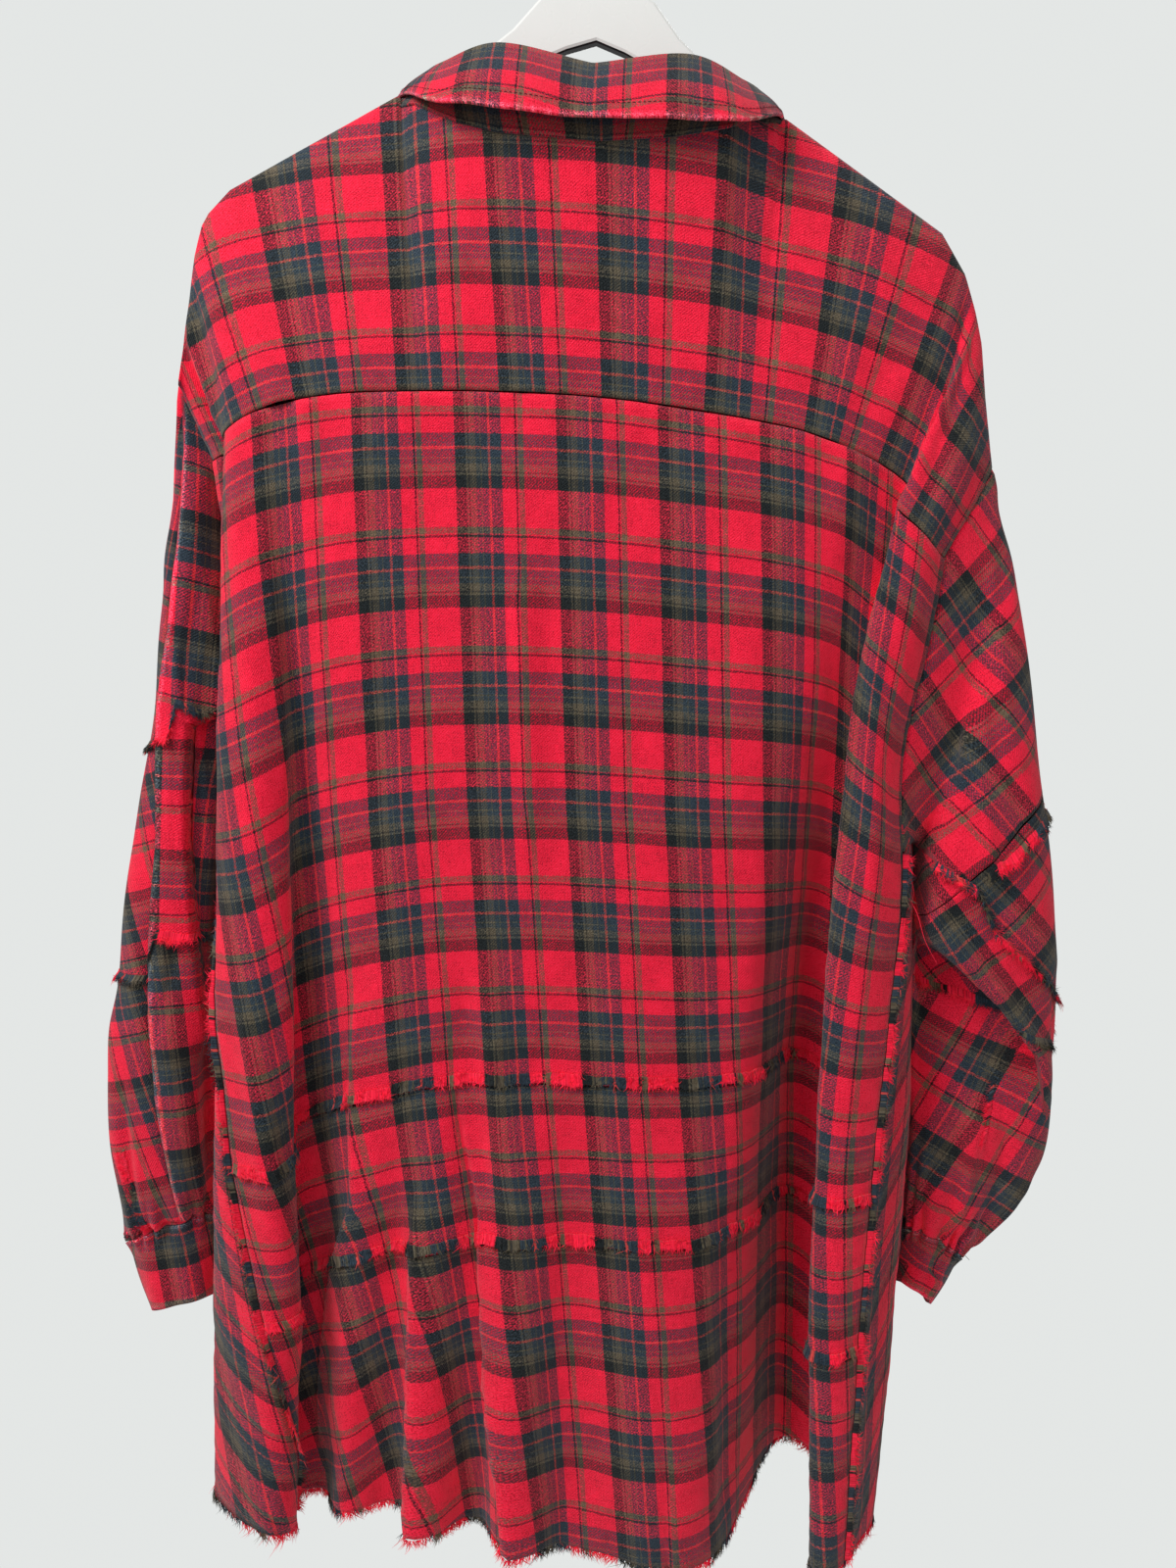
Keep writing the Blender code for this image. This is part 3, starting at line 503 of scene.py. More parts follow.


def flannel_group():
    group = bpy.data.node_groups.new("checked flannel", "ShaderNodeTree")
    for name, way, kind in (("Cloth", "INPUT", "Vector"), ("Nap", "INPUT", "Float"),
                            ("Wear_and_highlight", "INPUT", "Float"), ("Color", "OUTPUT", "Color"),
                            ("Height", "OUTPUT", "Float")):
        group.interface.new_socket(name, in_out=way, socket_type="NodeSocket" + kind)

    def sums(operation, x, y, *values, **options):
        return math_node(group, operation, x, y, *values, **options)

    start = node(group, "NodeGroupInput", -1600, 0)
    place = start.outputs["Cloth"]
    split = fill(group, node(group, "ShaderNodeSeparateXYZ", -1400, 200), {0: place})
    edge = sums("MULTIPLY", -1100, -100, noise(group, -1400, -100, place, 70.0, 3.0), 0.030)
    speckle = noise(group, -1400, -300, place, 62.0, 3.0)
    fibre = noise(group, -1400, -500, place, 120.0, 1.0)
    cloud = noise(group, -1400, -700, place, 5.0, 4.0)
    grain = sums("ADD", -100, -750, fibre, speckle)
    yarns = []
    for slot, drift, y, stretch in ((0, 1.0, 500, (110.0, 7.0)), (1, -1.0, 100, (7.0, 110.0))):
        slub = noise(group, -1400, y + 200, place, stretch, 2.0)
        moved = sums("MULTIPLY_ADD", -900, y, edge, drift, split.outputs[slot])
        ramp = fill(group, stripes(group, -500, y), {0: sums("FRACT", -700, y, moved)})
        yarn = node(group, "ShaderNodeVectorMath", -200, y, operation="SCALE")
        uneven = sums("ADD", -400, y + 100, sums("MULTIPLY", -500, y + 100, slub, 0.75), 1.0)
        yarns.append(fill(group, yarn, {0: ramp.outputs[0], "Scale": uneven}).outputs[0])
    diagonal = sums("SUBTRACT", -900, -400,
                    sums("MULTIPLY", -1000, -350, split.outputs[0], REPEAT[0] / TWILL),
                    sums("MULTIPLY", -1000, -450, split.outputs[1], REPEAT[1] / TWILL))
    rib = sums("SINE", -700, -400, sums("MULTIPLY", -800, -400, diagonal, 2 * math.pi))
    over = sums("ADD", -300, -400, sums("MULTIPLY", -500, -400, rib, RIB_SHARE),
                sums("MULTIPLY", -500, -500, speckle, SPECKLE_SHARE))
    crossing = fill(group, node(group, "ShaderNodeMix", 0, 300, data_type="RGBA"),
                    {"Factor": sums("ADD", -150, -400, over, 0.5, clamp=True), "A": yarns[0], "B": yarns[1]})
    mottle = sums("ADD", -300, -650, sums("MULTIPLY", -500, -600, fibre, 0.75),
                  sums("MULTIPLY", -500, -700, cloud, 0.24))
    nap = sums("MULTIPLY", 0, -500, mottle, start.outputs["Nap"])
    lit = fill(group, node(group, "ShaderNodeVectorMath", 300, 200, operation="SCALE"),
               {0: crossing.outputs["Result"], "Scale": sums("ADD", 150, -300, nap, 1.0)})
    fluff = sums("MULTIPLY_ADD", 300, -100, grain, *FLUFF)
    # Paler where marked: real wear on the collar and cuffs, and a painted highlight along the left sleeve's
    # pleat edge.
    rubbed_and_highlit = sums("MULTIPLY", 150, -700, start.outputs["Wear_and_highlight"],
                  sums("MULTIPLY_ADD", 0, -700, grain, *RUB_AND_HIGHLIGHT, clamp=True))
    pale = fill(group, node(group, "ShaderNodeVectorMath", 600, 200, operation="ADD"),
                {0: lit.outputs[0], 1: sums("ADD", 450, -100, fluff, rubbed_and_highlit)})
    gamma = fill(group, node(group, "ShaderNodeGamma", 1000, 100), {"Gamma": 2.2, "Color": pale.outputs[0]})
    height = sums("ADD", 800, -300, sums("MULTIPLY", 600, -300, rib, 0.25), grain)
    fill(group, node(group, "NodeGroupOutput", 1400, 0), {"Color": gamma.outputs[0], "Height": height})
    return group


FLANNEL_GROUP = flannel_group()


def flannel_material(name, nap, bump):
    made, tree, shader = new_material(name)
    cloth = node(tree, "ShaderNodeUVMap", -700, 0, uv_map="cloth")
    wear_and_highlight = node(tree, "ShaderNodeAttribute", -700, -300, attribute_name="wear_and_highlight")
    woven = fill(tree, node(tree, "ShaderNodeGroup", -450, 0, node_tree=FLANNEL_GROUP),
                 {"Cloth": cloth.outputs[0], "Nap": nap, "Wear_and_highlight": wear_and_highlight.outputs["Fac"]})
    relief = fill(tree, node(tree, "ShaderNodeBump", -200, -200),
                  {"Strength": bump, "Distance": 0.0007, "Height": woven.outputs["Height"]})
    fill(tree, shader, {"Roughness": 0.95, "Specular IOR Level": 0.15, "Sheen Weight": 0.22,
                        "Sheen Roughness": 0.45, "Sheen Tint": (1.0, 0.86, 0.86, 1.0),
                        "Base Color": woven.outputs["Color"], "Normal": relief.outputs[0]})
    return made


FLANNEL = flannel_material("brushed flannel", 1.0, 0.6)
THREAD = flannel_material("frayed flannel thread", 0.5, 0.15)
FRAYED = flannel_material("frayed flannel edge", 1.6, 1.0)
print("stripes in a repeat:", len(STRIPES))

# %% [markdown]
# Each cloth piece is a grid of points with its own map of the check, given its thickness by Solidify.
# A fold is a height above the smooth form: the grid is moved along its own normals, so neighbours that
# use the same table of folds still meet at their seams.


# %% Cloth pieces
def grid_normals(points, closed=False):
    down = np.gradient(points, axis=0)
    if closed:
        across = (np.roll(points, -1, axis=1) - np.roll(points, 1, axis=1)) / 2
    else:
        across = np.gradient(points, axis=1)
    normal = np.cross(down, across)
    return normal / np.maximum(np.linalg.norm(normal, axis=-1, keepdims=True), 1e-12)


def finish_piece(piece, material, slot, *nodes):
    piece.data.materials.clear()
    piece.data.materials.append(material)
    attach(piece, "root")
    if nodes:
        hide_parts(*nodes)
    return piece


def new_object(name, points, faces, uv=None, smooth=True):
    """A mesh object from points and faces; uv is one pair for each corner of each face."""
    mesh = bpy.data.meshes.new(name)
    mesh.from_pydata(np.asarray(points).reshape(-1, 3).tolist(), [], faces)
    if uv is not None:
        layer = mesh.uv_layers.new(name="cloth")
        layer.data.foreach_set("uv", np.asarray(uv, dtype=np.float32).ravel())
    piece = bpy.data.objects.new(name, mesh)
    bpy.context.scene.collection.objects.link(piece)
    if smooth:
        mesh.shade_smooth()
    return piece


def apply_modifiers(piece):
    bpy.ops.object.select_all(action="DESELECT")
    piece.select_set(True)
    bpy.context.view_layer.objects.active = piece
    for modifier in list(piece.modifiers):
        bpy.ops.object.modifier_apply(modifier=modifier.name)


def cloth_piece(name, points, uv, *nodes, closed=False, keep=None, thick=CLOTH, wear_and_highlight=None):
    """A wall of cloth on a grid of points; uv has one more column where the grid closes on itself."""
    rows, columns = points.shape[:2]
    across = columns if closed else columns - 1
    i, j = np.meshgrid(np.arange(rows - 1), np.arange(across), indexing="ij")
    if keep is not None:
        held = keep[:rows - 1, :across]
        i, j = i[held], j[held]
    i, j = i.ravel(), j.ravel()
    k = (j + 1) % columns
    faces = np.stack([i * columns + j, (i + 1) * columns + j, (i + 1) * columns + k, i * columns + k], axis=1)
    corners = np.stack([uv[i, j], uv[i + 1, j], uv[i + 1, j + 1], uv[i, j + 1]], axis=1)
    piece = new_object(name + "_cloth", points, faces.tolist(), corners)
    if wear_and_highlight is not None:
        layer = piece.data.attributes.new("wear_and_highlight", "FLOAT", "POINT")
        layer.data.foreach_set("value", np.ascontiguousarray(wear_and_highlight, dtype=np.float32).ravel())
    if keep is not None:
        shape = bmesh.new()
        shape.from_mesh(piece.data)
        bmesh.ops.delete(shape, geom=[v for v in shape.verts if not v.link_faces], context="VERTS")
        shape.to_mesh(piece.data)
        shape.free()
    wall = piece.modifiers.new("cloth", "SOLIDIFY")
    wall.thickness = thick
    wall.offset = 0.0
    wall.use_even_offset = False
    apply_modifiers(piece)
    return finish_piece(piece, FLANNEL, "flannel", *nodes)


def print_area(name, points):
    """Area of a grid of cloth, printed."""
    a = points[1:, :-1] - points[:-1, :-1]
    b = points[:-1, 1:] - points[:-1, :-1]
    print(name, "area %.4f m2" % np.linalg.norm(np.cross(a, b), axis=-1).sum())


def pair_up(across, along):
    """Places in the check for a whole grid."""
    return np.stack(np.broadcast_arrays(across, along), axis=-1)


# Folds of back, yoke and fronts: name, (s, t) where it starts, (s, t) where it ends, half width, height.
# A t below zero is up the yoke. A height below zero is a hollow.
FOLDS = (
    ("kink under the yoke",  (-.050, 0.08), (-.046, 0.30), 0.010, 0.0022),
    ("kink hollow",          (-.036, 0.08), (-.032, 0.30), 0.010, -.0014),
    ("long soft left",       (-.128, 0.20), (-.140, 0.52), 0.020, 0.0030),
    ("flute c run",          (-.078, 0.34), (-.060, 0.52), 0.010, 0.0040),
    ("flute c hollow",       (-.092, 0.36), (-.080, 0.54), 0.010, -.0034),
    ("drape left",           (-.145, -.02), (-.150, 0.20), 0.016, 0.0018),
    ("drape middle",         (0.030, 0.22), (0.020, 0.50), 0.030, 0.0024),
    ("drape right",          (0.100, 0.02), (0.086, 0.30), 0.018, 0.0022),
    ("shoulder drag right",  (0.185, -.13), (0.150, 0.05), 0.012, 0.0024),
    ("shoulder drag left",   (-.205, -.10), (-.195, 0.06), 0.010, -.0022),
    ("drop fold left",       (-.236, -.10), (-.238, 0.00), 0.007, 0.0035),
    ("drop valley left",     (-.252, -.09), (-.252, 0.00), 0.005, -.0040),
    ("drop edge right",      (0.212, -.13), (0.228, -.01), 0.006, 0.0035),
    ("drop valley right",    (0.222, -.12), (0.240, -.01), 0.005, -.0035),
    ("drop outer right",     (0.240, -.10), (0.256, 0.00), 0.008, 0.0028),
    ("roll rub left",        (-.240, 0.22), (-.250, 0.46), 0.010, -.0028),
    ("roll crease left",     (-.262, 0.30), (-.268, 0.60), 0.008, 0.0030),
    ("roll drag right",      (0.240, 0.06), (0.262, 0.26), 0.008, 0.0026),
    ("front drape left",     (-.400, 0.06), (-.390, 0.60), 0.024, 0.0060),
    ("front drape middle",   (-.480, 0.20), (-.490, 0.74), 0.022, 0.0055),
    ("front drape right",    (0.390, 0.10), (0.400, 0.70), 0.026, 0.0060),
    ("front hem right",      (0.470, 0.35), (0.480, 0.76), 0.022, 0.0060),
    ("hem broad",            (0.030, 0.46), (0.046, 0.76), 0.032, 0.0040),
    ("hem broad hollow",     (-.018, 0.50), (-.010, 0.76), 0.016, -.0032),
    ("hem right hollow",     (0.085, 0.50), (0.092, 0.76), 0.012, -.0030),
)


def ease(part):
    """0 to 1, level at both ends."""
    return np.sin(math.pi / 2 * np.clip(part, 0, 1)) ** 2


def fold_height(s, t):
    """Height of the folds and of the small creases above the smooth form."""
    total = np.zeros(np.broadcast(s, t).shape)
    for _, start, end, width, height in FOLDS:
        way = np.array(end) - np.array(start)
        length = np.linalg.norm(way)
        along = ((s - start[0]) * way[0] + (t - start[1]) * way[1]) / length ** 2
        nearest_s = start[0] + way[0] * np.clip(along, 0, 1)
        nearest_t = start[1] + way[1] * np.clip(along, 0, 1)
        away = np.hypot(s - nearest_s, t - nearest_t)
        fade = ease(np.minimum(along + 0.05, 1.05 - along) / 0.3)
        total = total + height * np.exp(-(away / width) ** 2) * fade
    total += 0.0007 * np.sin(s * 95 + 3 * np.sin(t * 17)) * np.sin(t * 23 + 2 * np.sin(s * 31))
    total += 0.0003 * np.sin(s * 260 + 5 * np.sin(t * 61)) * np.sin(t * 210 + 4 * np.sin(s * 77))
    return total


# Lips: folds whose left edge is sharp and laps over the hollow beside it. Places (s, t) down the edge, the
# height at the top and at the end, and how far the lip falls away to its right.
LIPS = (
    ("lip one",   ((-.160, .350), (-.162, .417), (-.167, .499), (-.180, .521), (-.202, .560), (-.221, .606),
                   (-.245, .682)), 0.0045, 0.0060, 0.030),
    ("lip two",   ((-.095, .390), (-.093, .418), (-.085, .481), (-.079, .521), (-.079, .569), (-.074, .640),
                   (-.066, .702), (-.062, .770)), 0.0035, 0.0110, 0.045),
    ("lip three", ((-.124, .490), (-.126, .530), (-.136, .633), (-.147, .720), (-.150, .770)),
     0.0050, 0.0105, 0.028),
    ("lip kink",  ((-.055, .100), (-.053, .160), (-.047, .270)), 0.0020, 0.0014, 0.020),
    ("lip small", ((0.040, .600), (0.048, .690), (0.052, .770)), 0.0010, 0.0050, 0.030),
)
LIP_FOOT = 0.004     # breadth of a lip's sharp edge
LIP_BEND = 0.007     # breadth over which it slides
LIP_SLIDE = 0.75     # slide for its height
OPEN_FROM = 0.72     # a lip that ends below this t runs out at the hem


def lip_shape(s, t):
    """Height of the lips above the form, and how far they slide to the left over their hollows."""
    height = np.zeros(np.broadcast(s, t).shape)
    slide = height.copy()
    for _, places, first, last, reach in LIPS:
        places = np.array(places)
        edge = np.interp(t, places[:, 1], places[:, 0])
        part = np.clip((t - places[0, 1]) / (places[-1, 1] - places[0, 1]), 0, 1)
        fade = ease(part / 0.18) * np.clip((places[-1, 1] + 0.03 - t) / 0.03, 0, 1)
        if places[-1, 1] < OPEN_FROM:
            fade = fade * np.clip((1 - part) / 0.15, 0, 1)
        tall = (first + (last - first) * part) * fade
        off = s - edge
        height = height + tall * np.where(off >= 0, np.exp(-np.maximum(off, 0) / reach),
                                          np.clip(1 + off / LIP_FOOT, 0, 1))
        slide = slide + tall * LIP_SLIDE * np.exp(-(off / LIP_BEND) ** 2)
    return height, slide


def folded(points, s, t):
    """A grid of the back's cloth with its folds and lips."""
    across = unit(np.gradient(points, axis=1))
    height, slide = lip_shape(s, t)
    return points + grid_normals(points) * (fold_height(s, t) + height)[..., None] - across * slide[..., None]


# How far the check slides to +X down the body, because the shirt hangs askew: t, slide.
SLIDE = ((0.0, 0.0), (0.25, 0.006), (0.35, 0.0118), (0.42, 0.0155), (0.66, 0.0342), (0.80, 0.045))


def check_at(s, t, phase):
    slide = np.interp(t, *zip(*SLIDE))
    return pair_up((s - slide) / REPEAT[0] + phase[0], -t / REPEAT[1] + phase[1])


# Where each piece starts in the repeat.
BODY_PHASE = (0.48, 0.801)
MIDDLE_PHASE = (0.48, 0.311)
HEM_PHASE = (0.48, 0.727)
YOKE_PHASE = (0.029, 0.14)
FRONT_PHASE = (0.35, 0.2)
print("folds on the body:", len(FOLDS))

# %% [markdown]
# The back hangs from the yoke seam in three tiers. They are cut from the same cloth, so the stripes run
# on across the tier seams, but the check steps where each tier was cut.


# %% Back in three tiers
def back_tier(name, start, end, rows, phase, columns=197):
    s = np.linspace(-HALF_BACK, HALF_BACK, columns)[None, :]
    part = np.linspace(0, 1, rows)[:, None]
    low = hem_t(s) if end is None else np.full(s.shape, end - SEAM_GAP / 2)
    t = start + SEAM_GAP / 2 + (low - start - SEAM_GAP / 2) * part
    s = np.broadcast_to(s, t.shape)
    points = folded(body_point(s, t), s, t)
    piece = cloth_piece(name, points, check_at(s, t, phase), name)
    print_area(name, points)
    return piece


back_upper = back_tier("back_upper", 0.0, TIER_1, 98, BODY_PHASE)
back_middle = back_tier("back_tier_middle", TIER_1, TIER_2, 40, MIDDLE_PHASE)
back_hem = back_tier("back_tier_hem", TIER_2, None, 66, HEM_PHASE)

# %% [markdown]
# The yoke goes from the back seam over both shoulders to the front yoke seams, open over the neck.
# Its stripes stand on the straight grain, so they fan a little where the cloth is pulled to the ridge.


# %% Yoke
def make_yoke():
    s = np.unique(np.concatenate([np.linspace(-HALF_BACK, HALF_BACK, 161), NECK_S, TIP_S,
                                  (NECK_S[0] + .007, NECK_S[1] - .006)]))[None, :]
    q = np.concatenate([np.linspace(0, 0.94, 40), np.linspace(0.95, 0.99, 5), [0.996, 1.0, 1.004, 1.01, 1.02],
                        np.linspace(1.05, 1.985, 16)])[:, None]
    height = np.linalg.norm(yoke_top(s[0]) - body_point(s[0], 0.0), axis=-1)[None, :]
    q = np.maximum(q, SEAM_GAP / 2 / height)
    s, q = np.broadcast_arrays(s, q)
    points = yoke_point(s, q)
    up = height * q
    fade = np.clip((1 - q) / 0.15, 0, 1)
    points = points + grid_normals(points) * (fold_height(s, -up) * fade)[..., None]
    middle = (s[:, 1:] + s[:, :-1]) / 2
    keep = ~((q[:, 1:] >= 0.999) & (middle > NECK_S[0]) & (middle < NECK_S[1]))
    uv = pair_up(s / REPEAT[0] + YOKE_PHASE[0], up / REPEAT[1] + YOKE_PHASE[1])
    print_area("yoke", points)
    return cloth_piece("yoke", points, uv, "yoke", keep=keep)


yoke = make_yoke()

# %% [markdown]
# The two fronts close with a straight band. They follow the same plan curve as the back, so the cloth
# that shows beside the back's rolls is theirs.


# %% Fronts and band
def make_front(side, name):
    f = np.linspace(0.0, 1.0, 70)[None, :]
    w = np.linspace(0.0016, 1.0, 104)[:, None]
    points, s, t = front_point(side, f, w)
    if side < 0:
        points, s, t = points[:, ::-1], s[:, ::-1], t[:, ::-1]
    w = np.broadcast_to(w, s.shape)
    fade = np.clip((w - 0.10) / 0.15, 0, 1)
    points = points + grid_normals(points) * (fold_height(s, t) * fade)[..., None]
    uv = pair_up(s / REPEAT[0] + FRONT_PHASE[0], -run_down(points) / REPEAT[1] + FRONT_PHASE[1])
    print_area(name, points)
    return cloth_piece(name, points, uv, name)


front_left = make_front(-1, "front_left")
front_right = make_front(1, "front_right")


def band_line(w):
    """The closed edge of the fronts: middle, and the way across it."""
    left, right = front_point(-1, 1.0, w)[0], front_point(1, 1.0, w)[0]
    across = front_point(-1, 0.93, w)[0] - front_point(1, 0.93, w)[0]
    return (left + right) / 2, unit(across)


HALF_BAND, BAND_LONG = 0.016, 0.83


def make_band():
    w = np.linspace(0.03, 0.995, 200)
    middle, across = band_line(w)
    part = np.linspace(1, -1, 15)
    points = middle[:, None, :] + across[:, None, :] * (part * HALF_BAND)[:, None]
    points[..., 1] += 0.0024 + 0.0004 * np.sin(w * 90)[:, None] * part
    uv = pair_up(part * HALF_BAND / REPEAT[0] + 0.1, (-w * BAND_LONG / REPEAT[1])[:, None])
    print_area("placket", points)
    return cloth_piece("placket", points, uv, "placket")


band = make_band()

# %% [markdown]
# The collar is a stand sewn round the neck and a fall that folds over it. At the back the fall lies just
# off the yoke, and its front points stand off the chest.

# %% Collar
COLLAR = (
    (0,   (0.000, -.037, -.1160), (0.000, -.0560, -.1503)),
    (35,  (0.058, -.035, -.1070), (0.060, -.0560, -.1475)),
    (62,  (0.088, -.022, -.1125), (0.097, -.0430, -.1405)),
    (76,  (0.098, -.008, -.1105), (0.1130, -.0210, -.1285)),
    (90,  (0.103, 0.006, -.1090), (0.1215, 0.0060, -.1215)),
    (125, (0.078, 0.040, -.1350), (0.120, 0.0560, -.1750)),
    (172, (0.010, 0.052, -.1850), (0.055, 0.0760, -.2450)),
)


def collar_line(angles, column):
    """A line of the collar round the neck, from its table, tilted with the hanger."""
    half = smooth([row[0] for row in COLLAR], [row[column] for row in COLLAR], np.abs(angles))
    x, z = tilted(np.sign(angles) * half[:, 0], half[:, 2])
    return np.stack([x, half[:, 1], z], axis=-1)


STAND_HIGH = 0.034
STAND_CLOTH, FALL_CLOTH = 0.0014, 0.0018
RIDGE_AT, YOKE_END_AT = 90, 112    # degrees round the neck at which the yoke crosses the ridge and ends


def neck_seam(angles):
    """The neck seam round the neck: yoke behind, fronts before."""
    places = []
    for angle in angles:
        side = -1 if angle < 0 else 1
        neck_s = NECK_S[0] if side < 0 else NECK_S[1]
        turn = abs(angle)
        if turn <= RIDGE_AT:
            places.append(yoke_point(neck_s * turn / RIDGE_AT, 1.0))
        elif turn <= YOKE_END_AT:
            places.append(yoke_point(neck_s, 1 + (turn - RIDGE_AT) / (YOKE_END_AT - RIDGE_AT)))
        else:
            places.append(front_top(side, np.array(NECK_PART + 0.44 * (turn - YOKE_END_AT) / 60)))
    return np.array(places)


def make_collar():
    angles = np.concatenate([np.linspace(-170, -60, 70), np.linspace(-58, 58, 90), np.linspace(60, 170, 70)])
    rows = 14
    top, edge, seam = collar_line(angles, 1), collar_line(angles, 2), neck_seam(angles)
    up = unit(top - seam)
    out = edge - top
    out[:, 2] = 0
    out = unit(out)
    low = seam - up * 0.0022 + out * 0.0012
    high = top - up * 0.0020
    part = np.linspace(0, 1, rows)[:, None, None]
    stand = low * (1 - part) + high * part
    run = run_down(edge)
    run -= run[-1] / 2
    stand = stand[::-1]
    rise = np.linspace(STAND_HIGH, 0, rows)[:, None]
    uv = pair_up(run / REPEAT[0] * 0.8 + 0.3, rise / REPEAT[1] + 0.1)
    stand_piece = cloth_piece("collar_stand", stand, uv, "collar_stand", thick=STAND_CLOTH)
    print_area("collar stand", stand)
    lip = top + up * 0.0006
    shape = [lip - out * 0.0002]
    for turn in np.linspace(20, 160, 8):
        angle = math.radians(turn)
        shape.append(lip + out * 0.0018 * (1 - math.cos(angle)) + up * 0.0014 * math.sin(angle))
    lower = lip + out * 0.0036
    for step in np.linspace(0.06, 1, 26):
        bow = math.sin(math.pi * step) * 0.0022
        place = lower + (edge - lower) * step + out * bow
        wave = 0.0012 * step ** 2 * np.sin(angles / 9.0) + 0.0008 * step * np.sin(angles / 3.7 + 1)
        shape.append(place + out * wave[:, None])
    fall = np.array(shape)
    uv = pair_up(run / REPEAT[0] + 0.30, run_down(fall) / REPEAT[1] + 0.10)
    wear_and_highlight = np.zeros(fall.shape[:2])
    patchy = 0.55 + 0.45 * np.sin(angles * 1.9) * np.sin(angles * 0.63 + 1)
    wear_and_highlight[-3:] = np.array([0.25, 0.75, 0.9])[:, None] * patchy
    fall_piece = cloth_piece("collar_fall", fall, uv, "collar_fall", thick=FALL_CLOTH, wear_and_highlight=wear_and_highlight)
    print_area("collar fall", fall)
    return stand_piece, fall_piece, fall, out


collar_stand, collar_fall, fall_grid, fall_out = make_collar()

# %% [markdown]
# A sleeve is a tube through slanted rings, from the armhole to the cuff. The left one hangs straight
# and flat; the right one leaves the armhole at a slant and bends, so its check lies on the diagonal.

# %% Sleeve rings
SLEEVE_LEFT = (
    ("upper 1",  (-.291, -.375), (-.246, -.562), 0.020, 0.030),
    ("upper 2",  (-.298, -.430), (-.249, -.592), 0.022, 0.040),
    ("seam a",   (-.309, -.517), (-.253, -.617), 0.024, 0.044),
    ("middle",   (-.324, -.595), (-.258, -.662), 0.024, 0.044),
    ("seam b",   (-.337, -.677), (-.263, -.710), 0.024, 0.043),
    ("lower 1",  (-.346, -.728), (-.267, -.752), 0.024, 0.042),
    ("lower 2",  (-.348, -.804), (-.269, -.808), 0.024, 0.040),
    ("gather",   (-.344, -.868), (-.272, -.848), 0.024, 0.032),
    ("cuff",     (-.342, -.880), (-.274, -.858), 0.024, 0.026),
    ("cuff end", (-.328, -.930), (-.276, -.918), 0.024, 0.028),
)
SLEEVE_RIGHT = (
    ("upper 1",  (0.259, -.372), (0.208, -.585), -.004, 0.028),
    ("upper 2",  (0.273, -.430), (0.207, -.605), -.006, 0.036),
    ("seam a",   (0.293, -.546), (0.2065, -.630), -.006, 0.042),
    ("middle",   (0.307, -.640), (0.2065, -.650), -.002, 0.042),
    ("seam b",   (0.3150, -.7217), (0.2070, -.674), 0.006, 0.040),
    ("lower 1",  (0.312, -.800), (0.2105, -.714), 0.012, 0.036),
    ("lower 2",  (0.294, -.840), (0.2105, -.760), 0.015, 0.034),
    ("gather",   (0.267, -.872), (0.2115, -.840), 0.014, 0.026),
    ("cuff",     (0.2560, -.886), (0.2145, -.865), 0.012, 0.020),
    ("cuff end", (0.2365, -.921), (0.2090, -.9040), 0.012, 0.020),
)
ARMHOLE_EASE = 0.0020
BACK_LIFT = {"gather": 0.008, "cuff": 0.012, "cuff end": 0.010}   # how much higher a ring runs behind
ROUND = 96   # columns round a sleeve: 0 outer, then the back, the inner side and the front
SEAM_A, SEAM_B, GATHER, CUFF, CUFF_END = 3, 5, 8, 9, 10


def resample(line, parts):
    length = run_down(line)
    return place_at(line, length, parts * length[-1])


def closed_ring(back, front):
    parts = np.linspace(0, 1, ROUND // 2 + 1)
    return np.vstack([resample(back, parts), resample(front, parts)[::-1][1:-1]])


def armhole_ring(side):
    """The armhole's edge: from the shoulder down the back, and up the front again."""
    end = side * HALF_BACK
    back = np.vstack([yoke_point(end, np.linspace(1, 0, 16)),
                      body_point(end, np.linspace(0.004, UNDERARM, 30))])
    hole = np.linspace(FRONT_TOP, UNDERARM, 24)
    front = np.vstack([yoke_point(end, np.linspace(1, 2, 16)),
                       body_point(side * (HALF_BACK + armhole_gap(side, hole)), hole)])
    ring = closed_ring(back, front)
    depth = (ring[:, 2] - ring[0, 2]) / (ring[ROUND // 2, 2] - ring[0, 2])
    ring[:, 0] += side * ARMHOLE_EASE
    ring[:, 2] -= ARMHOLE_EASE * depth
    return ring


def sleeve_rings(side, table):
    """Rings with flat sides and rounded edges, as a sleeve hangs."""
    rings = [armhole_ring(side)]
    angle = np.linspace(0, math.pi, 241)
    wide = np.sign(np.cos(angle)) * np.abs(np.cos(angle)) ** 0.75
    thick = np.sin(angle) ** 0.62
    for name, outer, inner, y_mid, deep in table:
        outer, inner = np.array(outer) - (side * 0.2 * deep, 0), np.array(inner)
        flat = (outer + inner) / 2 + (outer - inner) / 2 * wide[:, None]
        lifted = flat[:, 1] + BACK_LIFT.get(name, 0) * thick
        back = np.stack([flat[:, 0], y_mid - deep * thick, lifted], axis=1)
        front = np.stack([flat[:, 0], y_mid + deep * thick, flat[:, 1]], axis=1)
        rings.append(closed_ring(back, front))
    return np.array(rings)


RINGS = {-1: sleeve_rings(-1, SLEEVE_LEFT), 1: sleeve_rings(1, SLEEVE_RIGHT)}


def sleeve_place(side, ring, turn):
    """Points of a sleeve at ring numbers and turns (0 to 1 round it), before its folds."""
    rings = RINGS[side]
    flat = rings.reshape(len(rings), -1)
    ring, turn = np.broadcast_arrays(ring, turn)
    column = (turn * ROUND) % ROUND
    j = np.floor(column).astype(int) % ROUND
    b = (column - np.floor(column))[..., None]
    low = np.clip(ring, 0, len(rings) - 1 - 1e-6)
    i = low.astype(int)
    part = (low - i)[..., None]
    slopes = np.gradient(flat, axis=0).reshape(rings.shape)

    def cubic(j):
        return hermite(part, rings[i, j], rings[i + 1, j], slopes[i, j], slopes[i + 1, j])

    return cubic(j) * (1 - b) + cubic((j + 1) % ROUND) * b


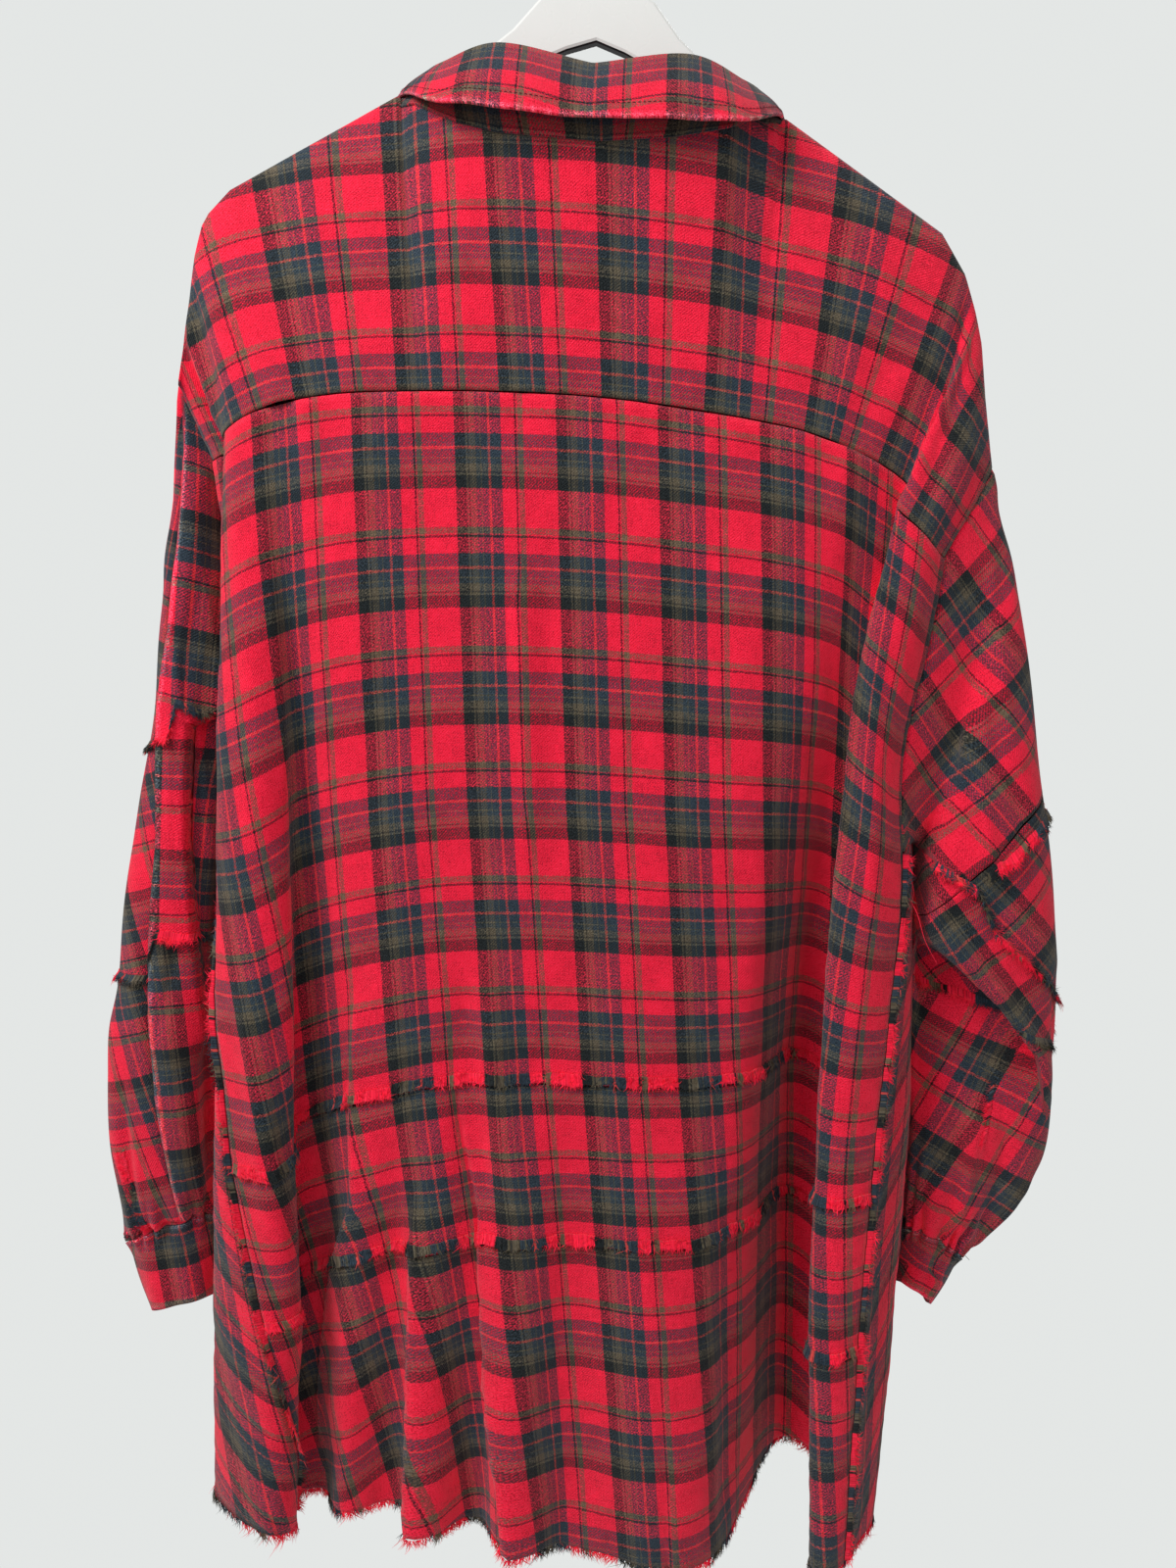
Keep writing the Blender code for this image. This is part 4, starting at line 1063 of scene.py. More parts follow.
# Folds of the sleeves: name, ring and turn where it starts, ring and turn where it ends, half width in
# turns, height.
SLEEVE_FOLDS = {
    -1: (
        ("outer strip swell", (2.0, 0.08), (8.4, 0.12), 0.040, 0.0030),
        ("inner hollow", (2.4, 0.40), (8.2, 0.42), 0.026, -.0050),
        ("inner drag", (3.6, 0.44), (7.8, 0.46), 0.016, 0.0030),
        ("elbow pucker", (4.0, 0.30), (5.4, 0.26), 0.020, -.0022),
        ("forearm drape", (6.0, 0.16), (8.6, 0.20), 0.018, -.0030),
        ("front fold", (1.5, 0.62), (7.5, 0.70), 0.030, 0.0060),
        ("front fold two", (2.5, 0.84), (8.0, 0.80), 0.030, 0.0055),
    ),
    1: (
        ("shoulder drag", (0.4, 0.10), (3.0, 0.20), 0.030, 0.0030),
        ("upper drag", (1.0, 0.30), (3.6, 0.24), 0.025, 0.0036),
        ("upper hollow", (1.2, 0.22), (3.4, 0.16), 0.025, -.0030),
        ("elbow crease", (4.2, 0.10), (5.6, 0.05), 0.025, -.0040),
        ("forearm drape", (5.8, 0.30), (8.2, 0.20), 0.026, 0.0046),
        ("forearm hollow", (5.8, 0.20), (8.0, 0.12), 0.026, -.0042),
        ("forearm outer", (6.2, 0.08), (8.4, 0.06), 0.022, 0.0034),
        ("front drape", (1.5, 0.70), (7.0, 0.76), 0.040, 0.0060),
    ),
}

# The raised pleat down the back of the left sleeve: z, x of its left and of its right edge, height.
PLEAT = (
    (-.300, -.2700, -.2500, 0.0000), (-.345, -.2715, -.2500, 0.0040), (-.388, -.2740, -.2490, 0.0060),
    (-.4126, -.2770, -.2474, 0.0070), (-.4453, -.2787, -.2456, 0.0080), (-.4703, -.2823, -.2430, 0.0095),
    (-.4950, -.2855, -.2400, 0.0100),
    (-.5050, -.2860, -.2690, 0.0100), (-.580, -.2890, -.2730, 0.0095), (-.650, -.2970, -.2710, 0.0095),
    (-.700, -.3000, -.2685, 0.0090), (-.755, -.2985, -.2630, 0.0090), (-.820, -.2930, -.1700, 0.0060),
    (-.865, -.2890, -.2580, 0.0000),
)
PLEAT_STEP = 0.0022   # breadth of each of its edges
GATHERS, GATHER_HIGH = 17, 0.0034    # round the cuff
CREASE_HIGH = 0.0009
# The lower edge of the right upper arm, which laps over the forearm: x and z.
LAP = ((0.196, -.628), (0.226, -.657), (0.258, -.688), (0.286, -.725), (0.298, -.768))
# Height of the left sleeve's tier seams round it: turn, z.
SEAM_HEIGHTS = {
    SEAM_A: ((0.0, -.527), (.195, -.514), (.212, -.490), (.35, -.500), (.50, -.530), (.65, -.550),
             (.85, -.540), (1.0, -.525)),
    SEAM_B: ((0.0, -.677), (.222, -.675), (.240, -.641), (.40, -.648), (.50, -.655), (.65, -.680),
             (1.0, -.678)),
}


def pleat_edges(z):
    drop = [-row[0] for row in PLEAT]
    return [np.interp(-z, drop, [row[k] for row in PLEAT]) for k in (1, 2, 3)]


def raise_pleat(points, behind):
    x, z = points[..., 0], points[..., 2]
    left, right, height = pleat_edges(z)
    inside = np.clip((x - left) / PLEAT_STEP, 0, 1) * np.clip((right - x) / PLEAT_STEP, 0, 1)
    crown = 0.75 + 0.25 * np.clip(np.minimum(x - left, right - x) / 0.008, 0, 1)
    hollow = 0.45 * np.exp(-np.maximum(left - x, 0) / 0.006) * (x < left) + 0.5 * np.exp(
        -np.maximum(x - right, 0) / 0.008) * (x > right)
    slide = 0.33 * (np.exp(-((x - right + PLEAT_STEP / 2) / 0.0036) ** 2)
                    - np.exp(-((x - left - PLEAT_STEP / 2) / 0.0036) ** 2))
    lift = height * behind
    return points + np.stack([slide * lift, (hollow * (1 - inside) - inside * crown) * lift, 0 * x], axis=-1)


def lap_over(points, behind):
    """Below the lap the sleeve lies deeper, and it starts further in than the lap's own edge."""
    line = resample(np.array(LAP), np.linspace(0, 1, 60))
    way = unit(np.gradient(line, axis=0))
    gap = points[..., None, [0, 2]] - line
    near = np.argmin((gap ** 2).sum(axis=-1), axis=-1)
    off = np.take_along_axis(gap, near[..., None, None], axis=-2)[..., 0, :]
    below = np.stack([way[near, 1], -way[near, 0]], axis=-1)
    across = (off * below).sum(axis=-1)
    along = near / (len(line) - 1)
    fade = behind * np.clip((1 - along) / 0.18, 0, 1)
    step = np.clip(across / 0.0035, 0, 1)
    step = step * step * (3 - 2 * step)
    deep = (0.010 + 0.026 * (1 - along) ** 0.8) * step * np.exp(-np.maximum(across - 0.012, 0) / 0.045)
    lip = 0.0070 * np.exp(-((across + 0.005) / 0.007) ** 2)
    free = np.clip((points[..., 0] - 0.216) / 0.020, 0, 1)
    under = 0.0080 * step * np.exp(-np.maximum(across - 0.004, 0) / 0.012) * free
    move = np.stack([-below[..., 0] * under, deep - lip, -below[..., 1] * under], axis=-1)
    return points + move * fade[..., None]


def sleeve_surface(side, ring, turn):
    """Places and outward normals of the finished sleeve at rings and turns."""
    ring, turn = np.broadcast_arrays(ring, turn)
    near = np.clip(ring, 0.02, CUFF_END - 0.02)
    base = sleeve_place(side, ring, turn % 1.0)
    down = sleeve_place(side, near + 0.02, turn % 1.0) - sleeve_place(side, near - 0.02, turn % 1.0)
    across = sleeve_place(side, near, (turn + 0.004) % 1.0) - sleeve_place(side, near, (turn - 0.004) % 1.0)
    normal = unit(np.cross(down, across)) * (1 if side < 0 else -1)
    total = np.zeros(ring.shape)
    for _, a, b, width, height in SLEEVE_FOLDS[side]:
        along = (ring - a[0]) / (b[0] - a[0])
        middle = a[1] + (b[1] - a[1]) * np.clip(along, 0, 1)
        fade = ease(np.minimum(along, 1 - along) / 0.25)
        total += height * np.exp(-((turn % 1.0 - middle) / width) ** 2) * fade
    angle = turn * 2 * math.pi
    gather = np.clip((ring - 6.8) / 2.2, 0, 1) ** 1.4 * np.clip((9.3 - ring) / 0.3, 0, 1)
    total += GATHER_HIGH * gather * np.sin(angle * GATHERS + 2 * np.sin(angle * 5))
    total += CREASE_HIGH * np.sin(ring * 4.1 + 3 * np.sin(angle * 2)) * np.sin(angle * 5 + ring)
    total *= np.clip(ring / 0.5, 0, 1) * np.clip((CUFF_END + 0.5 - ring) / 1.5, 0, 1)
    points = base + normal * total[..., None]
    inside = np.clip(ring / 0.4, 0, 1) * np.clip((CUFF - ring) / 0.4, 0, 1)
    behind = np.clip(-normal[..., 1] * 2.0 - 0.2, 0, 1) * inside
    points = raise_pleat(points, behind) if side < 0 else lap_over(points, behind)
    return points, normal


PER_RING = 20
RING_STEPS = np.linspace(0, CUFF_END, PER_RING * CUFF_END + 1)


def seam_ring(side, seam, turn):
    """The ring number at which a tier seam runs, for each turn."""
    if side > 0 or seam not in SEAM_HEIGHTS:
        return np.full(np.shape(turn), float(seam))
    flat = np.ravel(turn) % 1.0
    goal = np.interp(flat, *zip(*SEAM_HEIGHTS[seam]))
    z = sleeve_place(side, RING_STEPS[:, None], flat[None, :])[..., 2]
    rings = [np.interp(-goal[k], -z[:, k], RING_STEPS) for k in range(len(flat))]
    return np.maximum(np.reshape(rings, np.shape(turn)), 0.5)


print("left sleeve's pleat is", len(PLEAT), "rows long; the right sleeve's lap has", len(LAP), "places")

# %% [markdown]
# The left sleeve was cut upside down and its pleat breaks the check into strips; the right sleeve hangs
# on the cross of the cloth, so its check stands on its corners.


# %% Check of the sleeves
PER_TURN = 256
FLAT_TURNS = np.linspace(0.5, 1.5, PER_TURN + 1)
RIGHT_MIDDLE = 0.240    # x of the line down the back of the right sleeve


def flat_table(side):
    points = sleeve_place(side, RING_STEPS[:, None], FLAT_TURNS[None, :])
    steps = np.linalg.norm(np.diff(points[..., :2], axis=1), axis=-1)
    run = np.concatenate([np.zeros((len(points), 1)), np.cumsum(steps, axis=1)], axis=1)
    outer = len(FLAT_TURNS) // 2
    from_x = pleat_edges(points[:, outer:, 2])[0] if side < 0 else RIGHT_MIDDLE
    start = np.argmax((points[:, outer:, 0] - from_x) * side <= 0, axis=1)[:, None] + outer
    edge = np.take_along_axis(points[..., 0], start, axis=1)
    return points, run - np.take_along_axis(run, start, axis=1) + 0.35 - np.abs(edge)


FLAT = {-1: flat_table(-1), 1: flat_table(1)}


def flat_place(side, ring, turn):
    """Metres to -X and metres down, as if the sleeve were laid flat."""
    points, run = FLAT[side]
    turn = np.where(turn < 0.5, turn + 1.0, turn)
    i = np.clip(ring * PER_RING, 0, len(RING_STEPS) - 1.001)
    j = np.clip((turn - 0.5) * PER_TURN, 0, PER_TURN - 0.001)
    return between(run, i, j) * side, -between(points[..., 2], i, j), turn


# How the check lies: turn of the check in degrees, a place (x, z) on the back, and the part of the repeat
# there; where the cloth has slewed, the weft's own turn and pitch as well.
BLOCK = (0.2275, 0.2275)
SLEEVE_CHECK = {
    -1: {   # for the outer strip, the pleat and the inner strip
        "upper": ((-13, (-.2770, -.3973), BLOCK), (-2, (-.2603, -.4618), BLOCK, -16.5, 1.01),
                  (-38, (-.2440, -.3900), BLOCK)),
        "middle": ((17, (-.2866, -.5504), BLOCK), (-4, (-.2828, -.6088), (0.935, 0.335)),
                   (-8, (-.2698, -.6083), (0.398, 0.2275))),
        "lower": ((16, (-.3093, -.7582), (0.387, 0.2275)), (3, (-.2885, -.7356), BLOCK),
                  (-10, (-.2667, -.7350), (0.416, 0.2275))),
        "cuff": ((189, (-.2990, -.8699), BLOCK),) * 3,
    },
    1: {    # for the cloth above the underarm seam and below it
        "upper": ((42, (0.2262, -.4282), BLOCK), (38, (0.2235, -.6385), BLOCK)),
        "middle": ((45, (0.2435, -.6082), BLOCK), (38, (0.2235, -.6385), BLOCK)),
        "lower": ((38, (0.2235, -.6385), BLOCK), (-27, (0.2110, -.7080), BLOCK)),
        "cuff": ((-30, (0.2465, -.8897), BLOCK),) * 2,
    },
}
UNDERARM_SEAM = ((0.196, -.570), (0.214, -.592), (0.2242, -.599), (0.2355, -.605), (0.2501, -.635),
                 (0.2677, -.650), (0.2910, -.672), (0.3080, -.692), (0.3300, -.720))


def laid_check(side, tier, ring, turn):
    """Part of the repeat, along and across, at rings and turns of a sleeve piece."""
    across, down, turn = flat_place(side, ring, turn)
    place = sleeve_place(side, ring, turn % 1.0)
    x, z = place[..., 0], place[..., 2]
    behind = turn >= 1.0
    if side < 0:
        left, right, _ = pleat_edges(z)
        which = np.where(~behind | (x < left), 0, np.where(x < right, 1, 2))
    else:
        line = LAP if tier == "lower" else UNDERARM_SEAM
        which = np.where(behind & (z > np.interp(x, *zip(*line))), 0, 1)
    points, run = FLAT[side]
    half = len(FLAT_TURNS) // 2
    u, v = np.zeros(x.shape), np.zeros(x.shape)
    for number, (degrees, (x_at, z_at), (u_at, v_at), *weft) in enumerate(SLEEVE_CHECK[side][tier]):
        near = np.argmin((points[:, half:, 0] - x_at) ** 2 + (points[:, half:, 2] - z_at) ** 2)
        i, j = np.unravel_index(near, points[:, half:, 0].shape)
        a = across - run[i, j + half] * side + (x_at - points[i, j + half, 0])
        b = down + z_at
        tilt, pitch = weft or (degrees, 1.0)
        c, d = math.cos(math.radians(degrees)), math.sin(math.radians(degrees))
        e, f = math.cos(math.radians(tilt)) / pitch, math.sin(math.radians(tilt)) / pitch
        here = which == number
        u = np.where(here, (c * a + d * b) / REPEAT[0] + u_at, u)
        v = np.where(here, (-f * a + e * b) / REPEAT[1] + v_at, v)
    return np.stack([u, v], axis=-1)


elbow = FLAT[-1][1][len(RING_STEPS) // 2]
print("laid flat, the left sleeve is %.3f m round at its elbow" % (elbow[-1] - elbow[0]))

# %% [markdown]
# A sleeve is made in three tiers and a cuff. Under the armhole seam it runs on for a few millimetres, so no
# gap opens between it and the body, and at each tier seam the next tier starts just below.


# %% Sleeves and cuffs
SLEEVE_TURNS = np.linspace(0.5, 1.5, 161)
SEAM_STEP = 0.012        # part of a ring left on each side of a tier seam
DOUBLE_CLOTH = 0.0016


def make_sleeve(side, word):
    made = []
    tiers = (("upper", 0, SEAM_A, 66), ("middle", SEAM_A, SEAM_B, 50), ("lower", SEAM_B, CUFF, 72),
             ("cuff", CUFF, CUFF_END, 20))
    for tier, start, end, rows in tiers:
        turn = SLEEVE_TURNS[None, :]
        first = seam_ring(side, start, turn) + (SEAM_STEP if start else 0.0)
        last = seam_ring(side, end, turn) - (SEAM_STEP if end < CUFF_END else 0.0)
        ring = first + (last - first) * np.linspace(0, 1, rows)[:, None]
        turn = np.broadcast_to(turn, ring.shape)
        points, normal = sleeve_surface(side, ring, turn)
        uv = laid_check(side, tier, ring, turn)
        if tier == "upper":
            away = normal[:1] * -0.0016 * np.array([0.4, 1, 1])
            under = points[:1] + away + np.array([-side * 0.0050, 0, 0])
            points = np.vstack([under, points[:1] + away * 0.8, points[2:]])
            uv = np.vstack([uv[:1] * 2 - uv[2:3], uv[:1], uv[2:]])
        if tier == "cuff":
            swell = 0.0007 * np.sin(math.pi * (ring - CUFF)) + 0.0006 * np.sin(turn * 44)
            points = points + normal * swell[..., None]
        if side > 0:
            points, uv = points[:, ::-1], uv[:, ::-1]
        name = f"cuff_{word}" if tier == "cuff" else f"sleeve_{word}_{tier}"
        wear_and_highlight = np.zeros(points.shape[:2])
        if tier == "cuff":
            wear_and_highlight[[0, 1, -2, -1]] = np.array([0.45, 0.3, 0.2, 0.35])[:, None]
        # Along the pleat's left edge on the back of the left sleeve: a pale line that is a painted highlight on
        # the fold's edge.
        elif side < 0:
            off = points[..., 0] - pleat_edges(points[..., 2])[0] - 0.0008
            wear_and_highlight += 0.45 * np.exp(-(off / 0.0011) ** 2) * (normal[..., 1] < -0.3)
        made.append(cloth_piece(name, points[:, :-1], uv, name, closed=True, wear_and_highlight=wear_and_highlight[:, :-1],
                                thick=DOUBLE_CLOTH if tier == "cuff" else CLOTH))
        print_area(name, points)
    return made


sleeve_left = make_sleeve(-1, "left")
sleeve_right = make_sleeve(1, "right")

# %% [markdown]
# The hem, the tiers and the seams are left raw. A frayed edge is a row of short threads, each a small
# tapered sprig of three sides, with the check's own colour at its root. They are computed all together,
# because there are thousands, and each has only ten triangles.


# %% Frayed threads
def threads(name, roots, ways, outs, uvs, length, thin, seed, spread=0.45, lift=0.35):
    """One mesh of threads: roots with their main way, the way off the cloth, and place in the check."""
    rng = np.random.default_rng(seed)
    count = len(roots)
    ways, outs = unit(ways), unit(outs)
    sides = unit(np.cross(ways, outs))
    long = length * (0.55 + 0.9 * rng.random(count) ** 1.6)[:, None]
    clump = np.sin(np.arange(count) * 0.21 + 2 * np.sin(np.arange(count) * 0.037))
    lean = (rng.normal(0, spread, count) + 0.35 * clump)[:, None]
    raised = (lift * (0.3 + rng.random(count)))[:, None]
    curl = rng.normal(0, 0.5, count)[:, None]
    rings = []
    for part, wide in ((0.0, 1.0), (0.5, 0.85)):
        aside = lean * part + curl * part ** 2 * 0.5
        middle = roots + long * (ways * part + sides * aside + outs * raised * part)
        for turn in (0.0, 2.1, 4.2):
            rings.append(middle + (sides * math.cos(turn) + outs * math.sin(turn)) * thin * wide)
    tip = roots + long * (ways + sides * (lean + curl * 0.5) + outs * raised * 0.8)
    points = np.stack(rings + [tip], axis=1)
    shape = [(k, (k + 1) % 3, 3 + (k + 1) % 3, 3 + k) for k in range(3)]
    caps = [(0, 2, 1)] + [(3 + k, 3 + (k + 1) % 3, 6) for k in range(3)]
    base = np.arange(count)[:, None] * 7
    faces = [face for part in (shape, caps)
             for face in (base[:, None] + np.array(part)).reshape(-1, len(part[0])).tolist()]
    corner = np.tile(np.repeat(np.arange(count), 12), 2)
    return finish_piece(new_object(name, points, faces, uvs[corner], smooth=False), THREAD, "flannel")


def body_surface(s, t):
    """Place, outward normal and ways down and across on the finished body cloth, folds and lips included."""
    step = 0.0012
    here = body_point(s, t)
    down = body_point(s, t + step) - body_point(s, t - step)
    across = unit(body_point(s + step, t) - body_point(s - step, t))
    normal = unit(np.cross(down, across))
    height, slide = lip_shape(s, t)
    here = here + normal * (fold_height(s, t) + height)[..., None] - across * slide[..., None]
    return here, normal, unit(down), across


def one_tint(tint):
    return np.stack([tint, tint], axis=-1)


def warp_only(uv):
    """The cross threads have dropped out of a frayed edge, so only the warp's colour is left."""
    return one_tint(uv[..., 0])


def hem_threads(name, s_from, s_to, count, seed, phase):
    rng = np.random.default_rng(seed)
    s = np.sort(rng.uniform(s_from, s_to, count))
    t = hem_t(s)
    place, normal, down, _ = body_surface(s, t - 0.0006)
    place = place + normal * rng.uniform(-0.0004, 0.0004, count)[:, None]
    return threads(name, place, down, normal, warp_only(check_at(s, t, phase)), 0.0062, 0.00031,
                   seed + 1, 0.6, 0.25)


hem_back_fringe = hem_threads("hem_fringe_back", -HALF_BACK, HALF_BACK, 3400, 3, HEM_PHASE)
hem_front_fringe = [hem_threads("hem_fringe_left", -HALF_GIRTH + .001, -HALF_BACK, 1400, 5, FRONT_PHASE),
                    hem_threads("hem_fringe_right", HALF_BACK, HALF_GIRTH - .001, 1400, 7, FRONT_PHASE)]
print("hem fringe faces:", sum(len(piece.data.polygons) for piece in (hem_back_fringe, *hem_front_fringe)))

# %% [markdown]
# At each tier seam the upper tier's raw edge hangs over the lower one as a narrow ragged strip. It is a
# grid of its own, moved out from the surface, with an uneven lower edge and threads along it.


# %% Raw tier seams of the back
def ragged(s, seed):
    """An uneven edge: -1 to 1, with long and short waves."""
    return (0.5 * np.sin(s * 71 + seed) + 0.3 * np.sin(s * 187 + 2 * seed) + 0.2 * np.sin(s * 433 + 3 * seed))


def frayed_strip(name, points, uv, thick=0.0009):
    strip = cloth_piece(name, points, uv, thick=thick)
    strip.data.materials[0] = FRAYED
    return strip


def tier_strip(name, tier_t, phase, seed):
    """A ragged strip over the seam, then threads that hang from it and a few that stand up."""
    s = np.linspace(-HALF_BACK + 0.001, HALF_BACK - 0.001, 380)
    top = tier_t - 0.0072 + 0.0012 * ragged(s * 1.7, seed + 3)
    low = tier_t - 0.0012 + 0.0020 * ragged(s * 2.2, seed)
    part = np.linspace(0, 1, 7)[:, None]
    t = top + (low - top) * part
    place, normal, down, across = body_surface(np.broadcast_to(s, t.shape), t)
    off = 0.0012 + 0.0026 * part ** 1.5 * (0.75 + 0.5 * ragged(s * 1.3, seed + 5))
    points = place + normal * off[..., None] + across * (0.0006 * ragged(s * 3, seed + 7) * part)[..., None]
    uv = warp_only(check_at(np.broadcast_to(s, t.shape), t, phase))
    strip = frayed_strip(name, points, uv)
    rng = np.random.default_rng(seed)
    count = 3000
    pick = rng.uniform(0, len(s) - 1.001, count)
    i = pick.astype(int)
    b = (pick - i)[:, None]
    row = np.clip((rng.random(count) ** 0.6 * 6).astype(int), 0, 6)
    root = points[row, i] * (1 - b) + points[row, i + 1] * b
    root_s = s[i] * (1 - b[:, 0]) + s[i + 1] * b[:, 0]
    _, normal, down, across = body_surface(root_s, low[i])
    up = rng.random(count) < 0.16
    way = np.where(up[:, None], -down, down) + across * rng.normal(0, 0.25, count)[:, None]
    root = root + normal * 0.0004
    fray = threads(name + "_fray", root, way, normal, warp_only(check_at(root_s, low[i], phase)),
                   0.0038, 0.00030, seed + 9, 0.45, 0.40)
    return strip, fray


tier_seam_one = tier_strip("tier_seam_one", TIER_1, BODY_PHASE, 11)
tier_seam_two = tier_strip("tier_seam_two", TIER_2, MIDDLE_PHASE, 23)

# %% [markdown]
# The side seams are raw as well: a low ridge of cut edges with threads on both sides runs down each
# side from the underarm to the hem.


# %% Raw side seams
def side_seam(name, side, seed):
    """A narrow upright strip on the seam line with threads over both its sides."""
    end = float(hem_t(np.array([side * HALF_BACK]))[0])
    t = np.linspace(UNDERARM + 0.004, end - 0.003, 420)
    s = np.full_like(t, side * HALF_BACK)
    place, normal, down, across = body_surface(s, t)
    wave = 0.0010 * ragged(t, seed)[:, None] * across
    height = (0.0036 + 0.0010 * ragged(t, seed + 2))[:, None]
    away = unit(normal * 0.75 + across * side * 0.65)
    rows = [place + normal * 0.0010 + wave * part + away * height * part for part in np.linspace(0, 1, 5)]
    points = np.array(rows)
    if side < 0:
        points = points[::-1]
    tint = -t / REPEAT[1] + 0.3
    strip = frayed_strip(name, points, one_tint(np.broadcast_to(tint, points.shape[:2])))
    rng = np.random.default_rng(seed)
    edge = points[0] if side < 0 else points[-1]
    count = 1700
    pick = rng.integers(0, len(t), count)
    roots = edge[pick] + (place[pick] - edge[pick]) * rng.random(count)[:, None] * 0.6
    turned = away[pick] + down[pick] * rng.normal(0.3, 0.5, count)[:, None]
    fray = threads(name + "_fray", roots, turned, normal[pick], one_tint(tint[pick]),
                   0.0034, 0.00027, seed + 4, 0.7, 0.5)
    return strip, fray


side_seam_left = side_seam("side_seam_left", -1, 31)
side_seam_right = side_seam("side_seam_right", 1, 37)

# %% [markdown]
# The sleeves have the same raw seams: a tier seam at two heights, and the underarm seam, which runs down
# the inner edge on the left and winds over the back of the right sleeve. Each is a ragged strip with
# threads, laid along a line on the finished sleeve.


# %% Raw seams of the sleeves
def raw_strip(name, place, normal, way, tint, reach, lift, seed, count):
    """A ragged strip along a line; way is where its raw edge points and tint its place in the stripes."""
    rng = np.random.default_rng(seed)
    run = run_down(place)
    wide = reach * (0.85 + 0.45 * ragged(run * 2.0, seed) + 0.25 * ragged(run * 6.0, seed + 1))[:, None]
    high = lift * (0.8 + 0.6 * ragged(run * 1.4, seed + 4))[:, None]
    rows = [place + way * (wide * (part * 1.2 - 0.2)) + normal * (0.0008 + high * part ** 1.4)
            for part in np.linspace(0, 1, 6)]
    points = np.array(rows)
    uv = one_tint(np.broadcast_to(tint, points.shape[:2]))
    if np.sum(grid_normals(points) * normal) < 0:
        points, uv = points[:, ::-1], uv[:, ::-1]
    strip = frayed_strip(name, points, uv, 0.0008)
    pick = rng.integers(0, len(place), count)
    along = unit(np.gradient(place, axis=0))
    part = rng.random(count)[:, None] ** 0.5
    root = place[pick] + way[pick] * wide[pick] * part + normal[pick] * (0.0010 + high[pick] * part)
    turned = way[pick] + along[pick] * rng.normal(0, 0.45, count)[:, None]
    fray = threads(name + "_fray", root, turned, normal[pick], one_tint(tint[pick]),
                   0.0034, 0.00027, seed + 3, 0.6, 0.5)
    return strip, fray


def ring_strip(name, side, seam, turns, seed, reach=0.0042, lift=0.0024):
    """A tier seam's raw strip, pointing down the sleeve, coloured by the stripes that end in it."""
    turn = np.linspace(*turns, 260)
    ring = seam_ring(side, seam, turn)
    place, normal = sleeve_surface(side, ring - 0.04, turn)
    lower, _ = sleeve_surface(side, ring + 0.06, turn)
    tier = "upper" if seam == SEAM_A else "middle"
    tint = laid_check(side, tier, ring, turn)[:, 0]
    return raw_strip(name, place, normal, unit(lower - place), tint, reach, lift, seed,
                     int(2700 * (turns[1] - turns[0])))


BACK_RINGS, BACK_TURNS = np.meshgrid(np.linspace(0.3, 9.0, 180), np.linspace(0.0, 0.5, 120), indexing="ij")


def back_line(side, places, count):
    """Rings and turns of a line drawn on the back of a sleeve by its x and z."""
    line = resample(np.array(places), np.linspace(0, 1, count))
    flat = sleeve_place(side, BACK_RINGS, BACK_TURNS)
    near = [np.argmin((flat[..., 0] - x) ** 2 + (flat[..., 2] - z) ** 2) for x, z in line]
    calm = np.ones(9) / 9
    rings, turns = (np.convolve(np.pad(grid.ravel()[near], 4, mode="edge"), calm, mode="valid")
                    for grid in (BACK_RINGS, BACK_TURNS))
    return rings, turns


def back_strip(name, side, places, way, tier, seed, count=900, reach=0.0042, lift=0.0030, slot=0):
    """A raw strip along a line on the back of a sleeve, coloured by the stripes that end in it."""
    rings, turns = back_line(side, places, 220)
    place, normal = sleeve_surface(side, rings, turns)
    way = np.broadcast_to(np.array(way, float), place.shape)
    way = unit(way - normal * np.sum(way * normal, axis=-1, keepdims=True))
    tint = laid_check(side, tier, rings, turns + 1.0)[:, slot]
    return raw_strip(name, place, normal, way, tint, reach, lift, seed, count)


def inner_strip(name, side, turn, seed):
    """The raw underarm seam on the inner edge."""
    ring = np.linspace(0.8, 8.4, 300)
    place, normal = sleeve_surface(side, ring, np.full_like(ring, turn))
    return raw_strip(name, place, normal, normal, -place[:, 2] / REPEAT[1], 0.0032, 0.0016, seed, 900)


RED_ENDS, BLACK_ENDS = 0.76, 0.05
raw_sleeve_seams = {"left": [
    ring_strip("sleeve_seam_a_left", -1, SEAM_A, (0.0, 1.0), 41),
    ring_strip("sleeve_seam_b_left", -1, SEAM_B, (0.0, 1.0), 43),
    inner_strip("underarm_seam_left", -1, 0.49, 45),
    back_strip("outer_tufts_left", -1, ((-.3270, -.795), (-.3250, -.815), (-.3180, -.845), (-.3140, -.862)),
               (-1.0, 0, -.2), "lower", 46, 700, 0.0036, 0.0010, 1),
], "right": [
    back_strip("sleeve_seam_a_right", 1, ((0.2906, -.553), (0.2651, -.579), (0.2410, -.597)), (0.3, 0, -1),
               "middle", 47),
    ring_strip("sleeve_seam_a_right_front", 1, SEAM_A, (0.52, 0.98), 49),
    ring_strip("sleeve_seam_b_right", 1, SEAM_B, (0.10, 0.98), 51, 0.0036, 0.0016),
    back_strip("underarm_seam_right", 1, UNDERARM_SEAM[1:4], (0.2, 0, -1), "middle", 53, 700),
    back_strip("underarm_seam_right_low", 1, UNDERARM_SEAM[3:8], (0.4, 0, -1), "middle", 55, 1300, slot=1),
    back_strip("outer_tufts_right", 1, ((0.3075, -.690), (0.3110, -.722)), (1.0, 0, -.3), "lower", 57, 420),
    back_strip("forearm_fray_right", 1, ((0.2634, -.745), (0.2562, -.786)), (-1, 0, -.4), "lower", 59, 260,
               0.0030, 0.0016, 1),
]}
print("raw sleeve seams:", sum(len(seams) for seams in raw_sleeve_seams.values()))


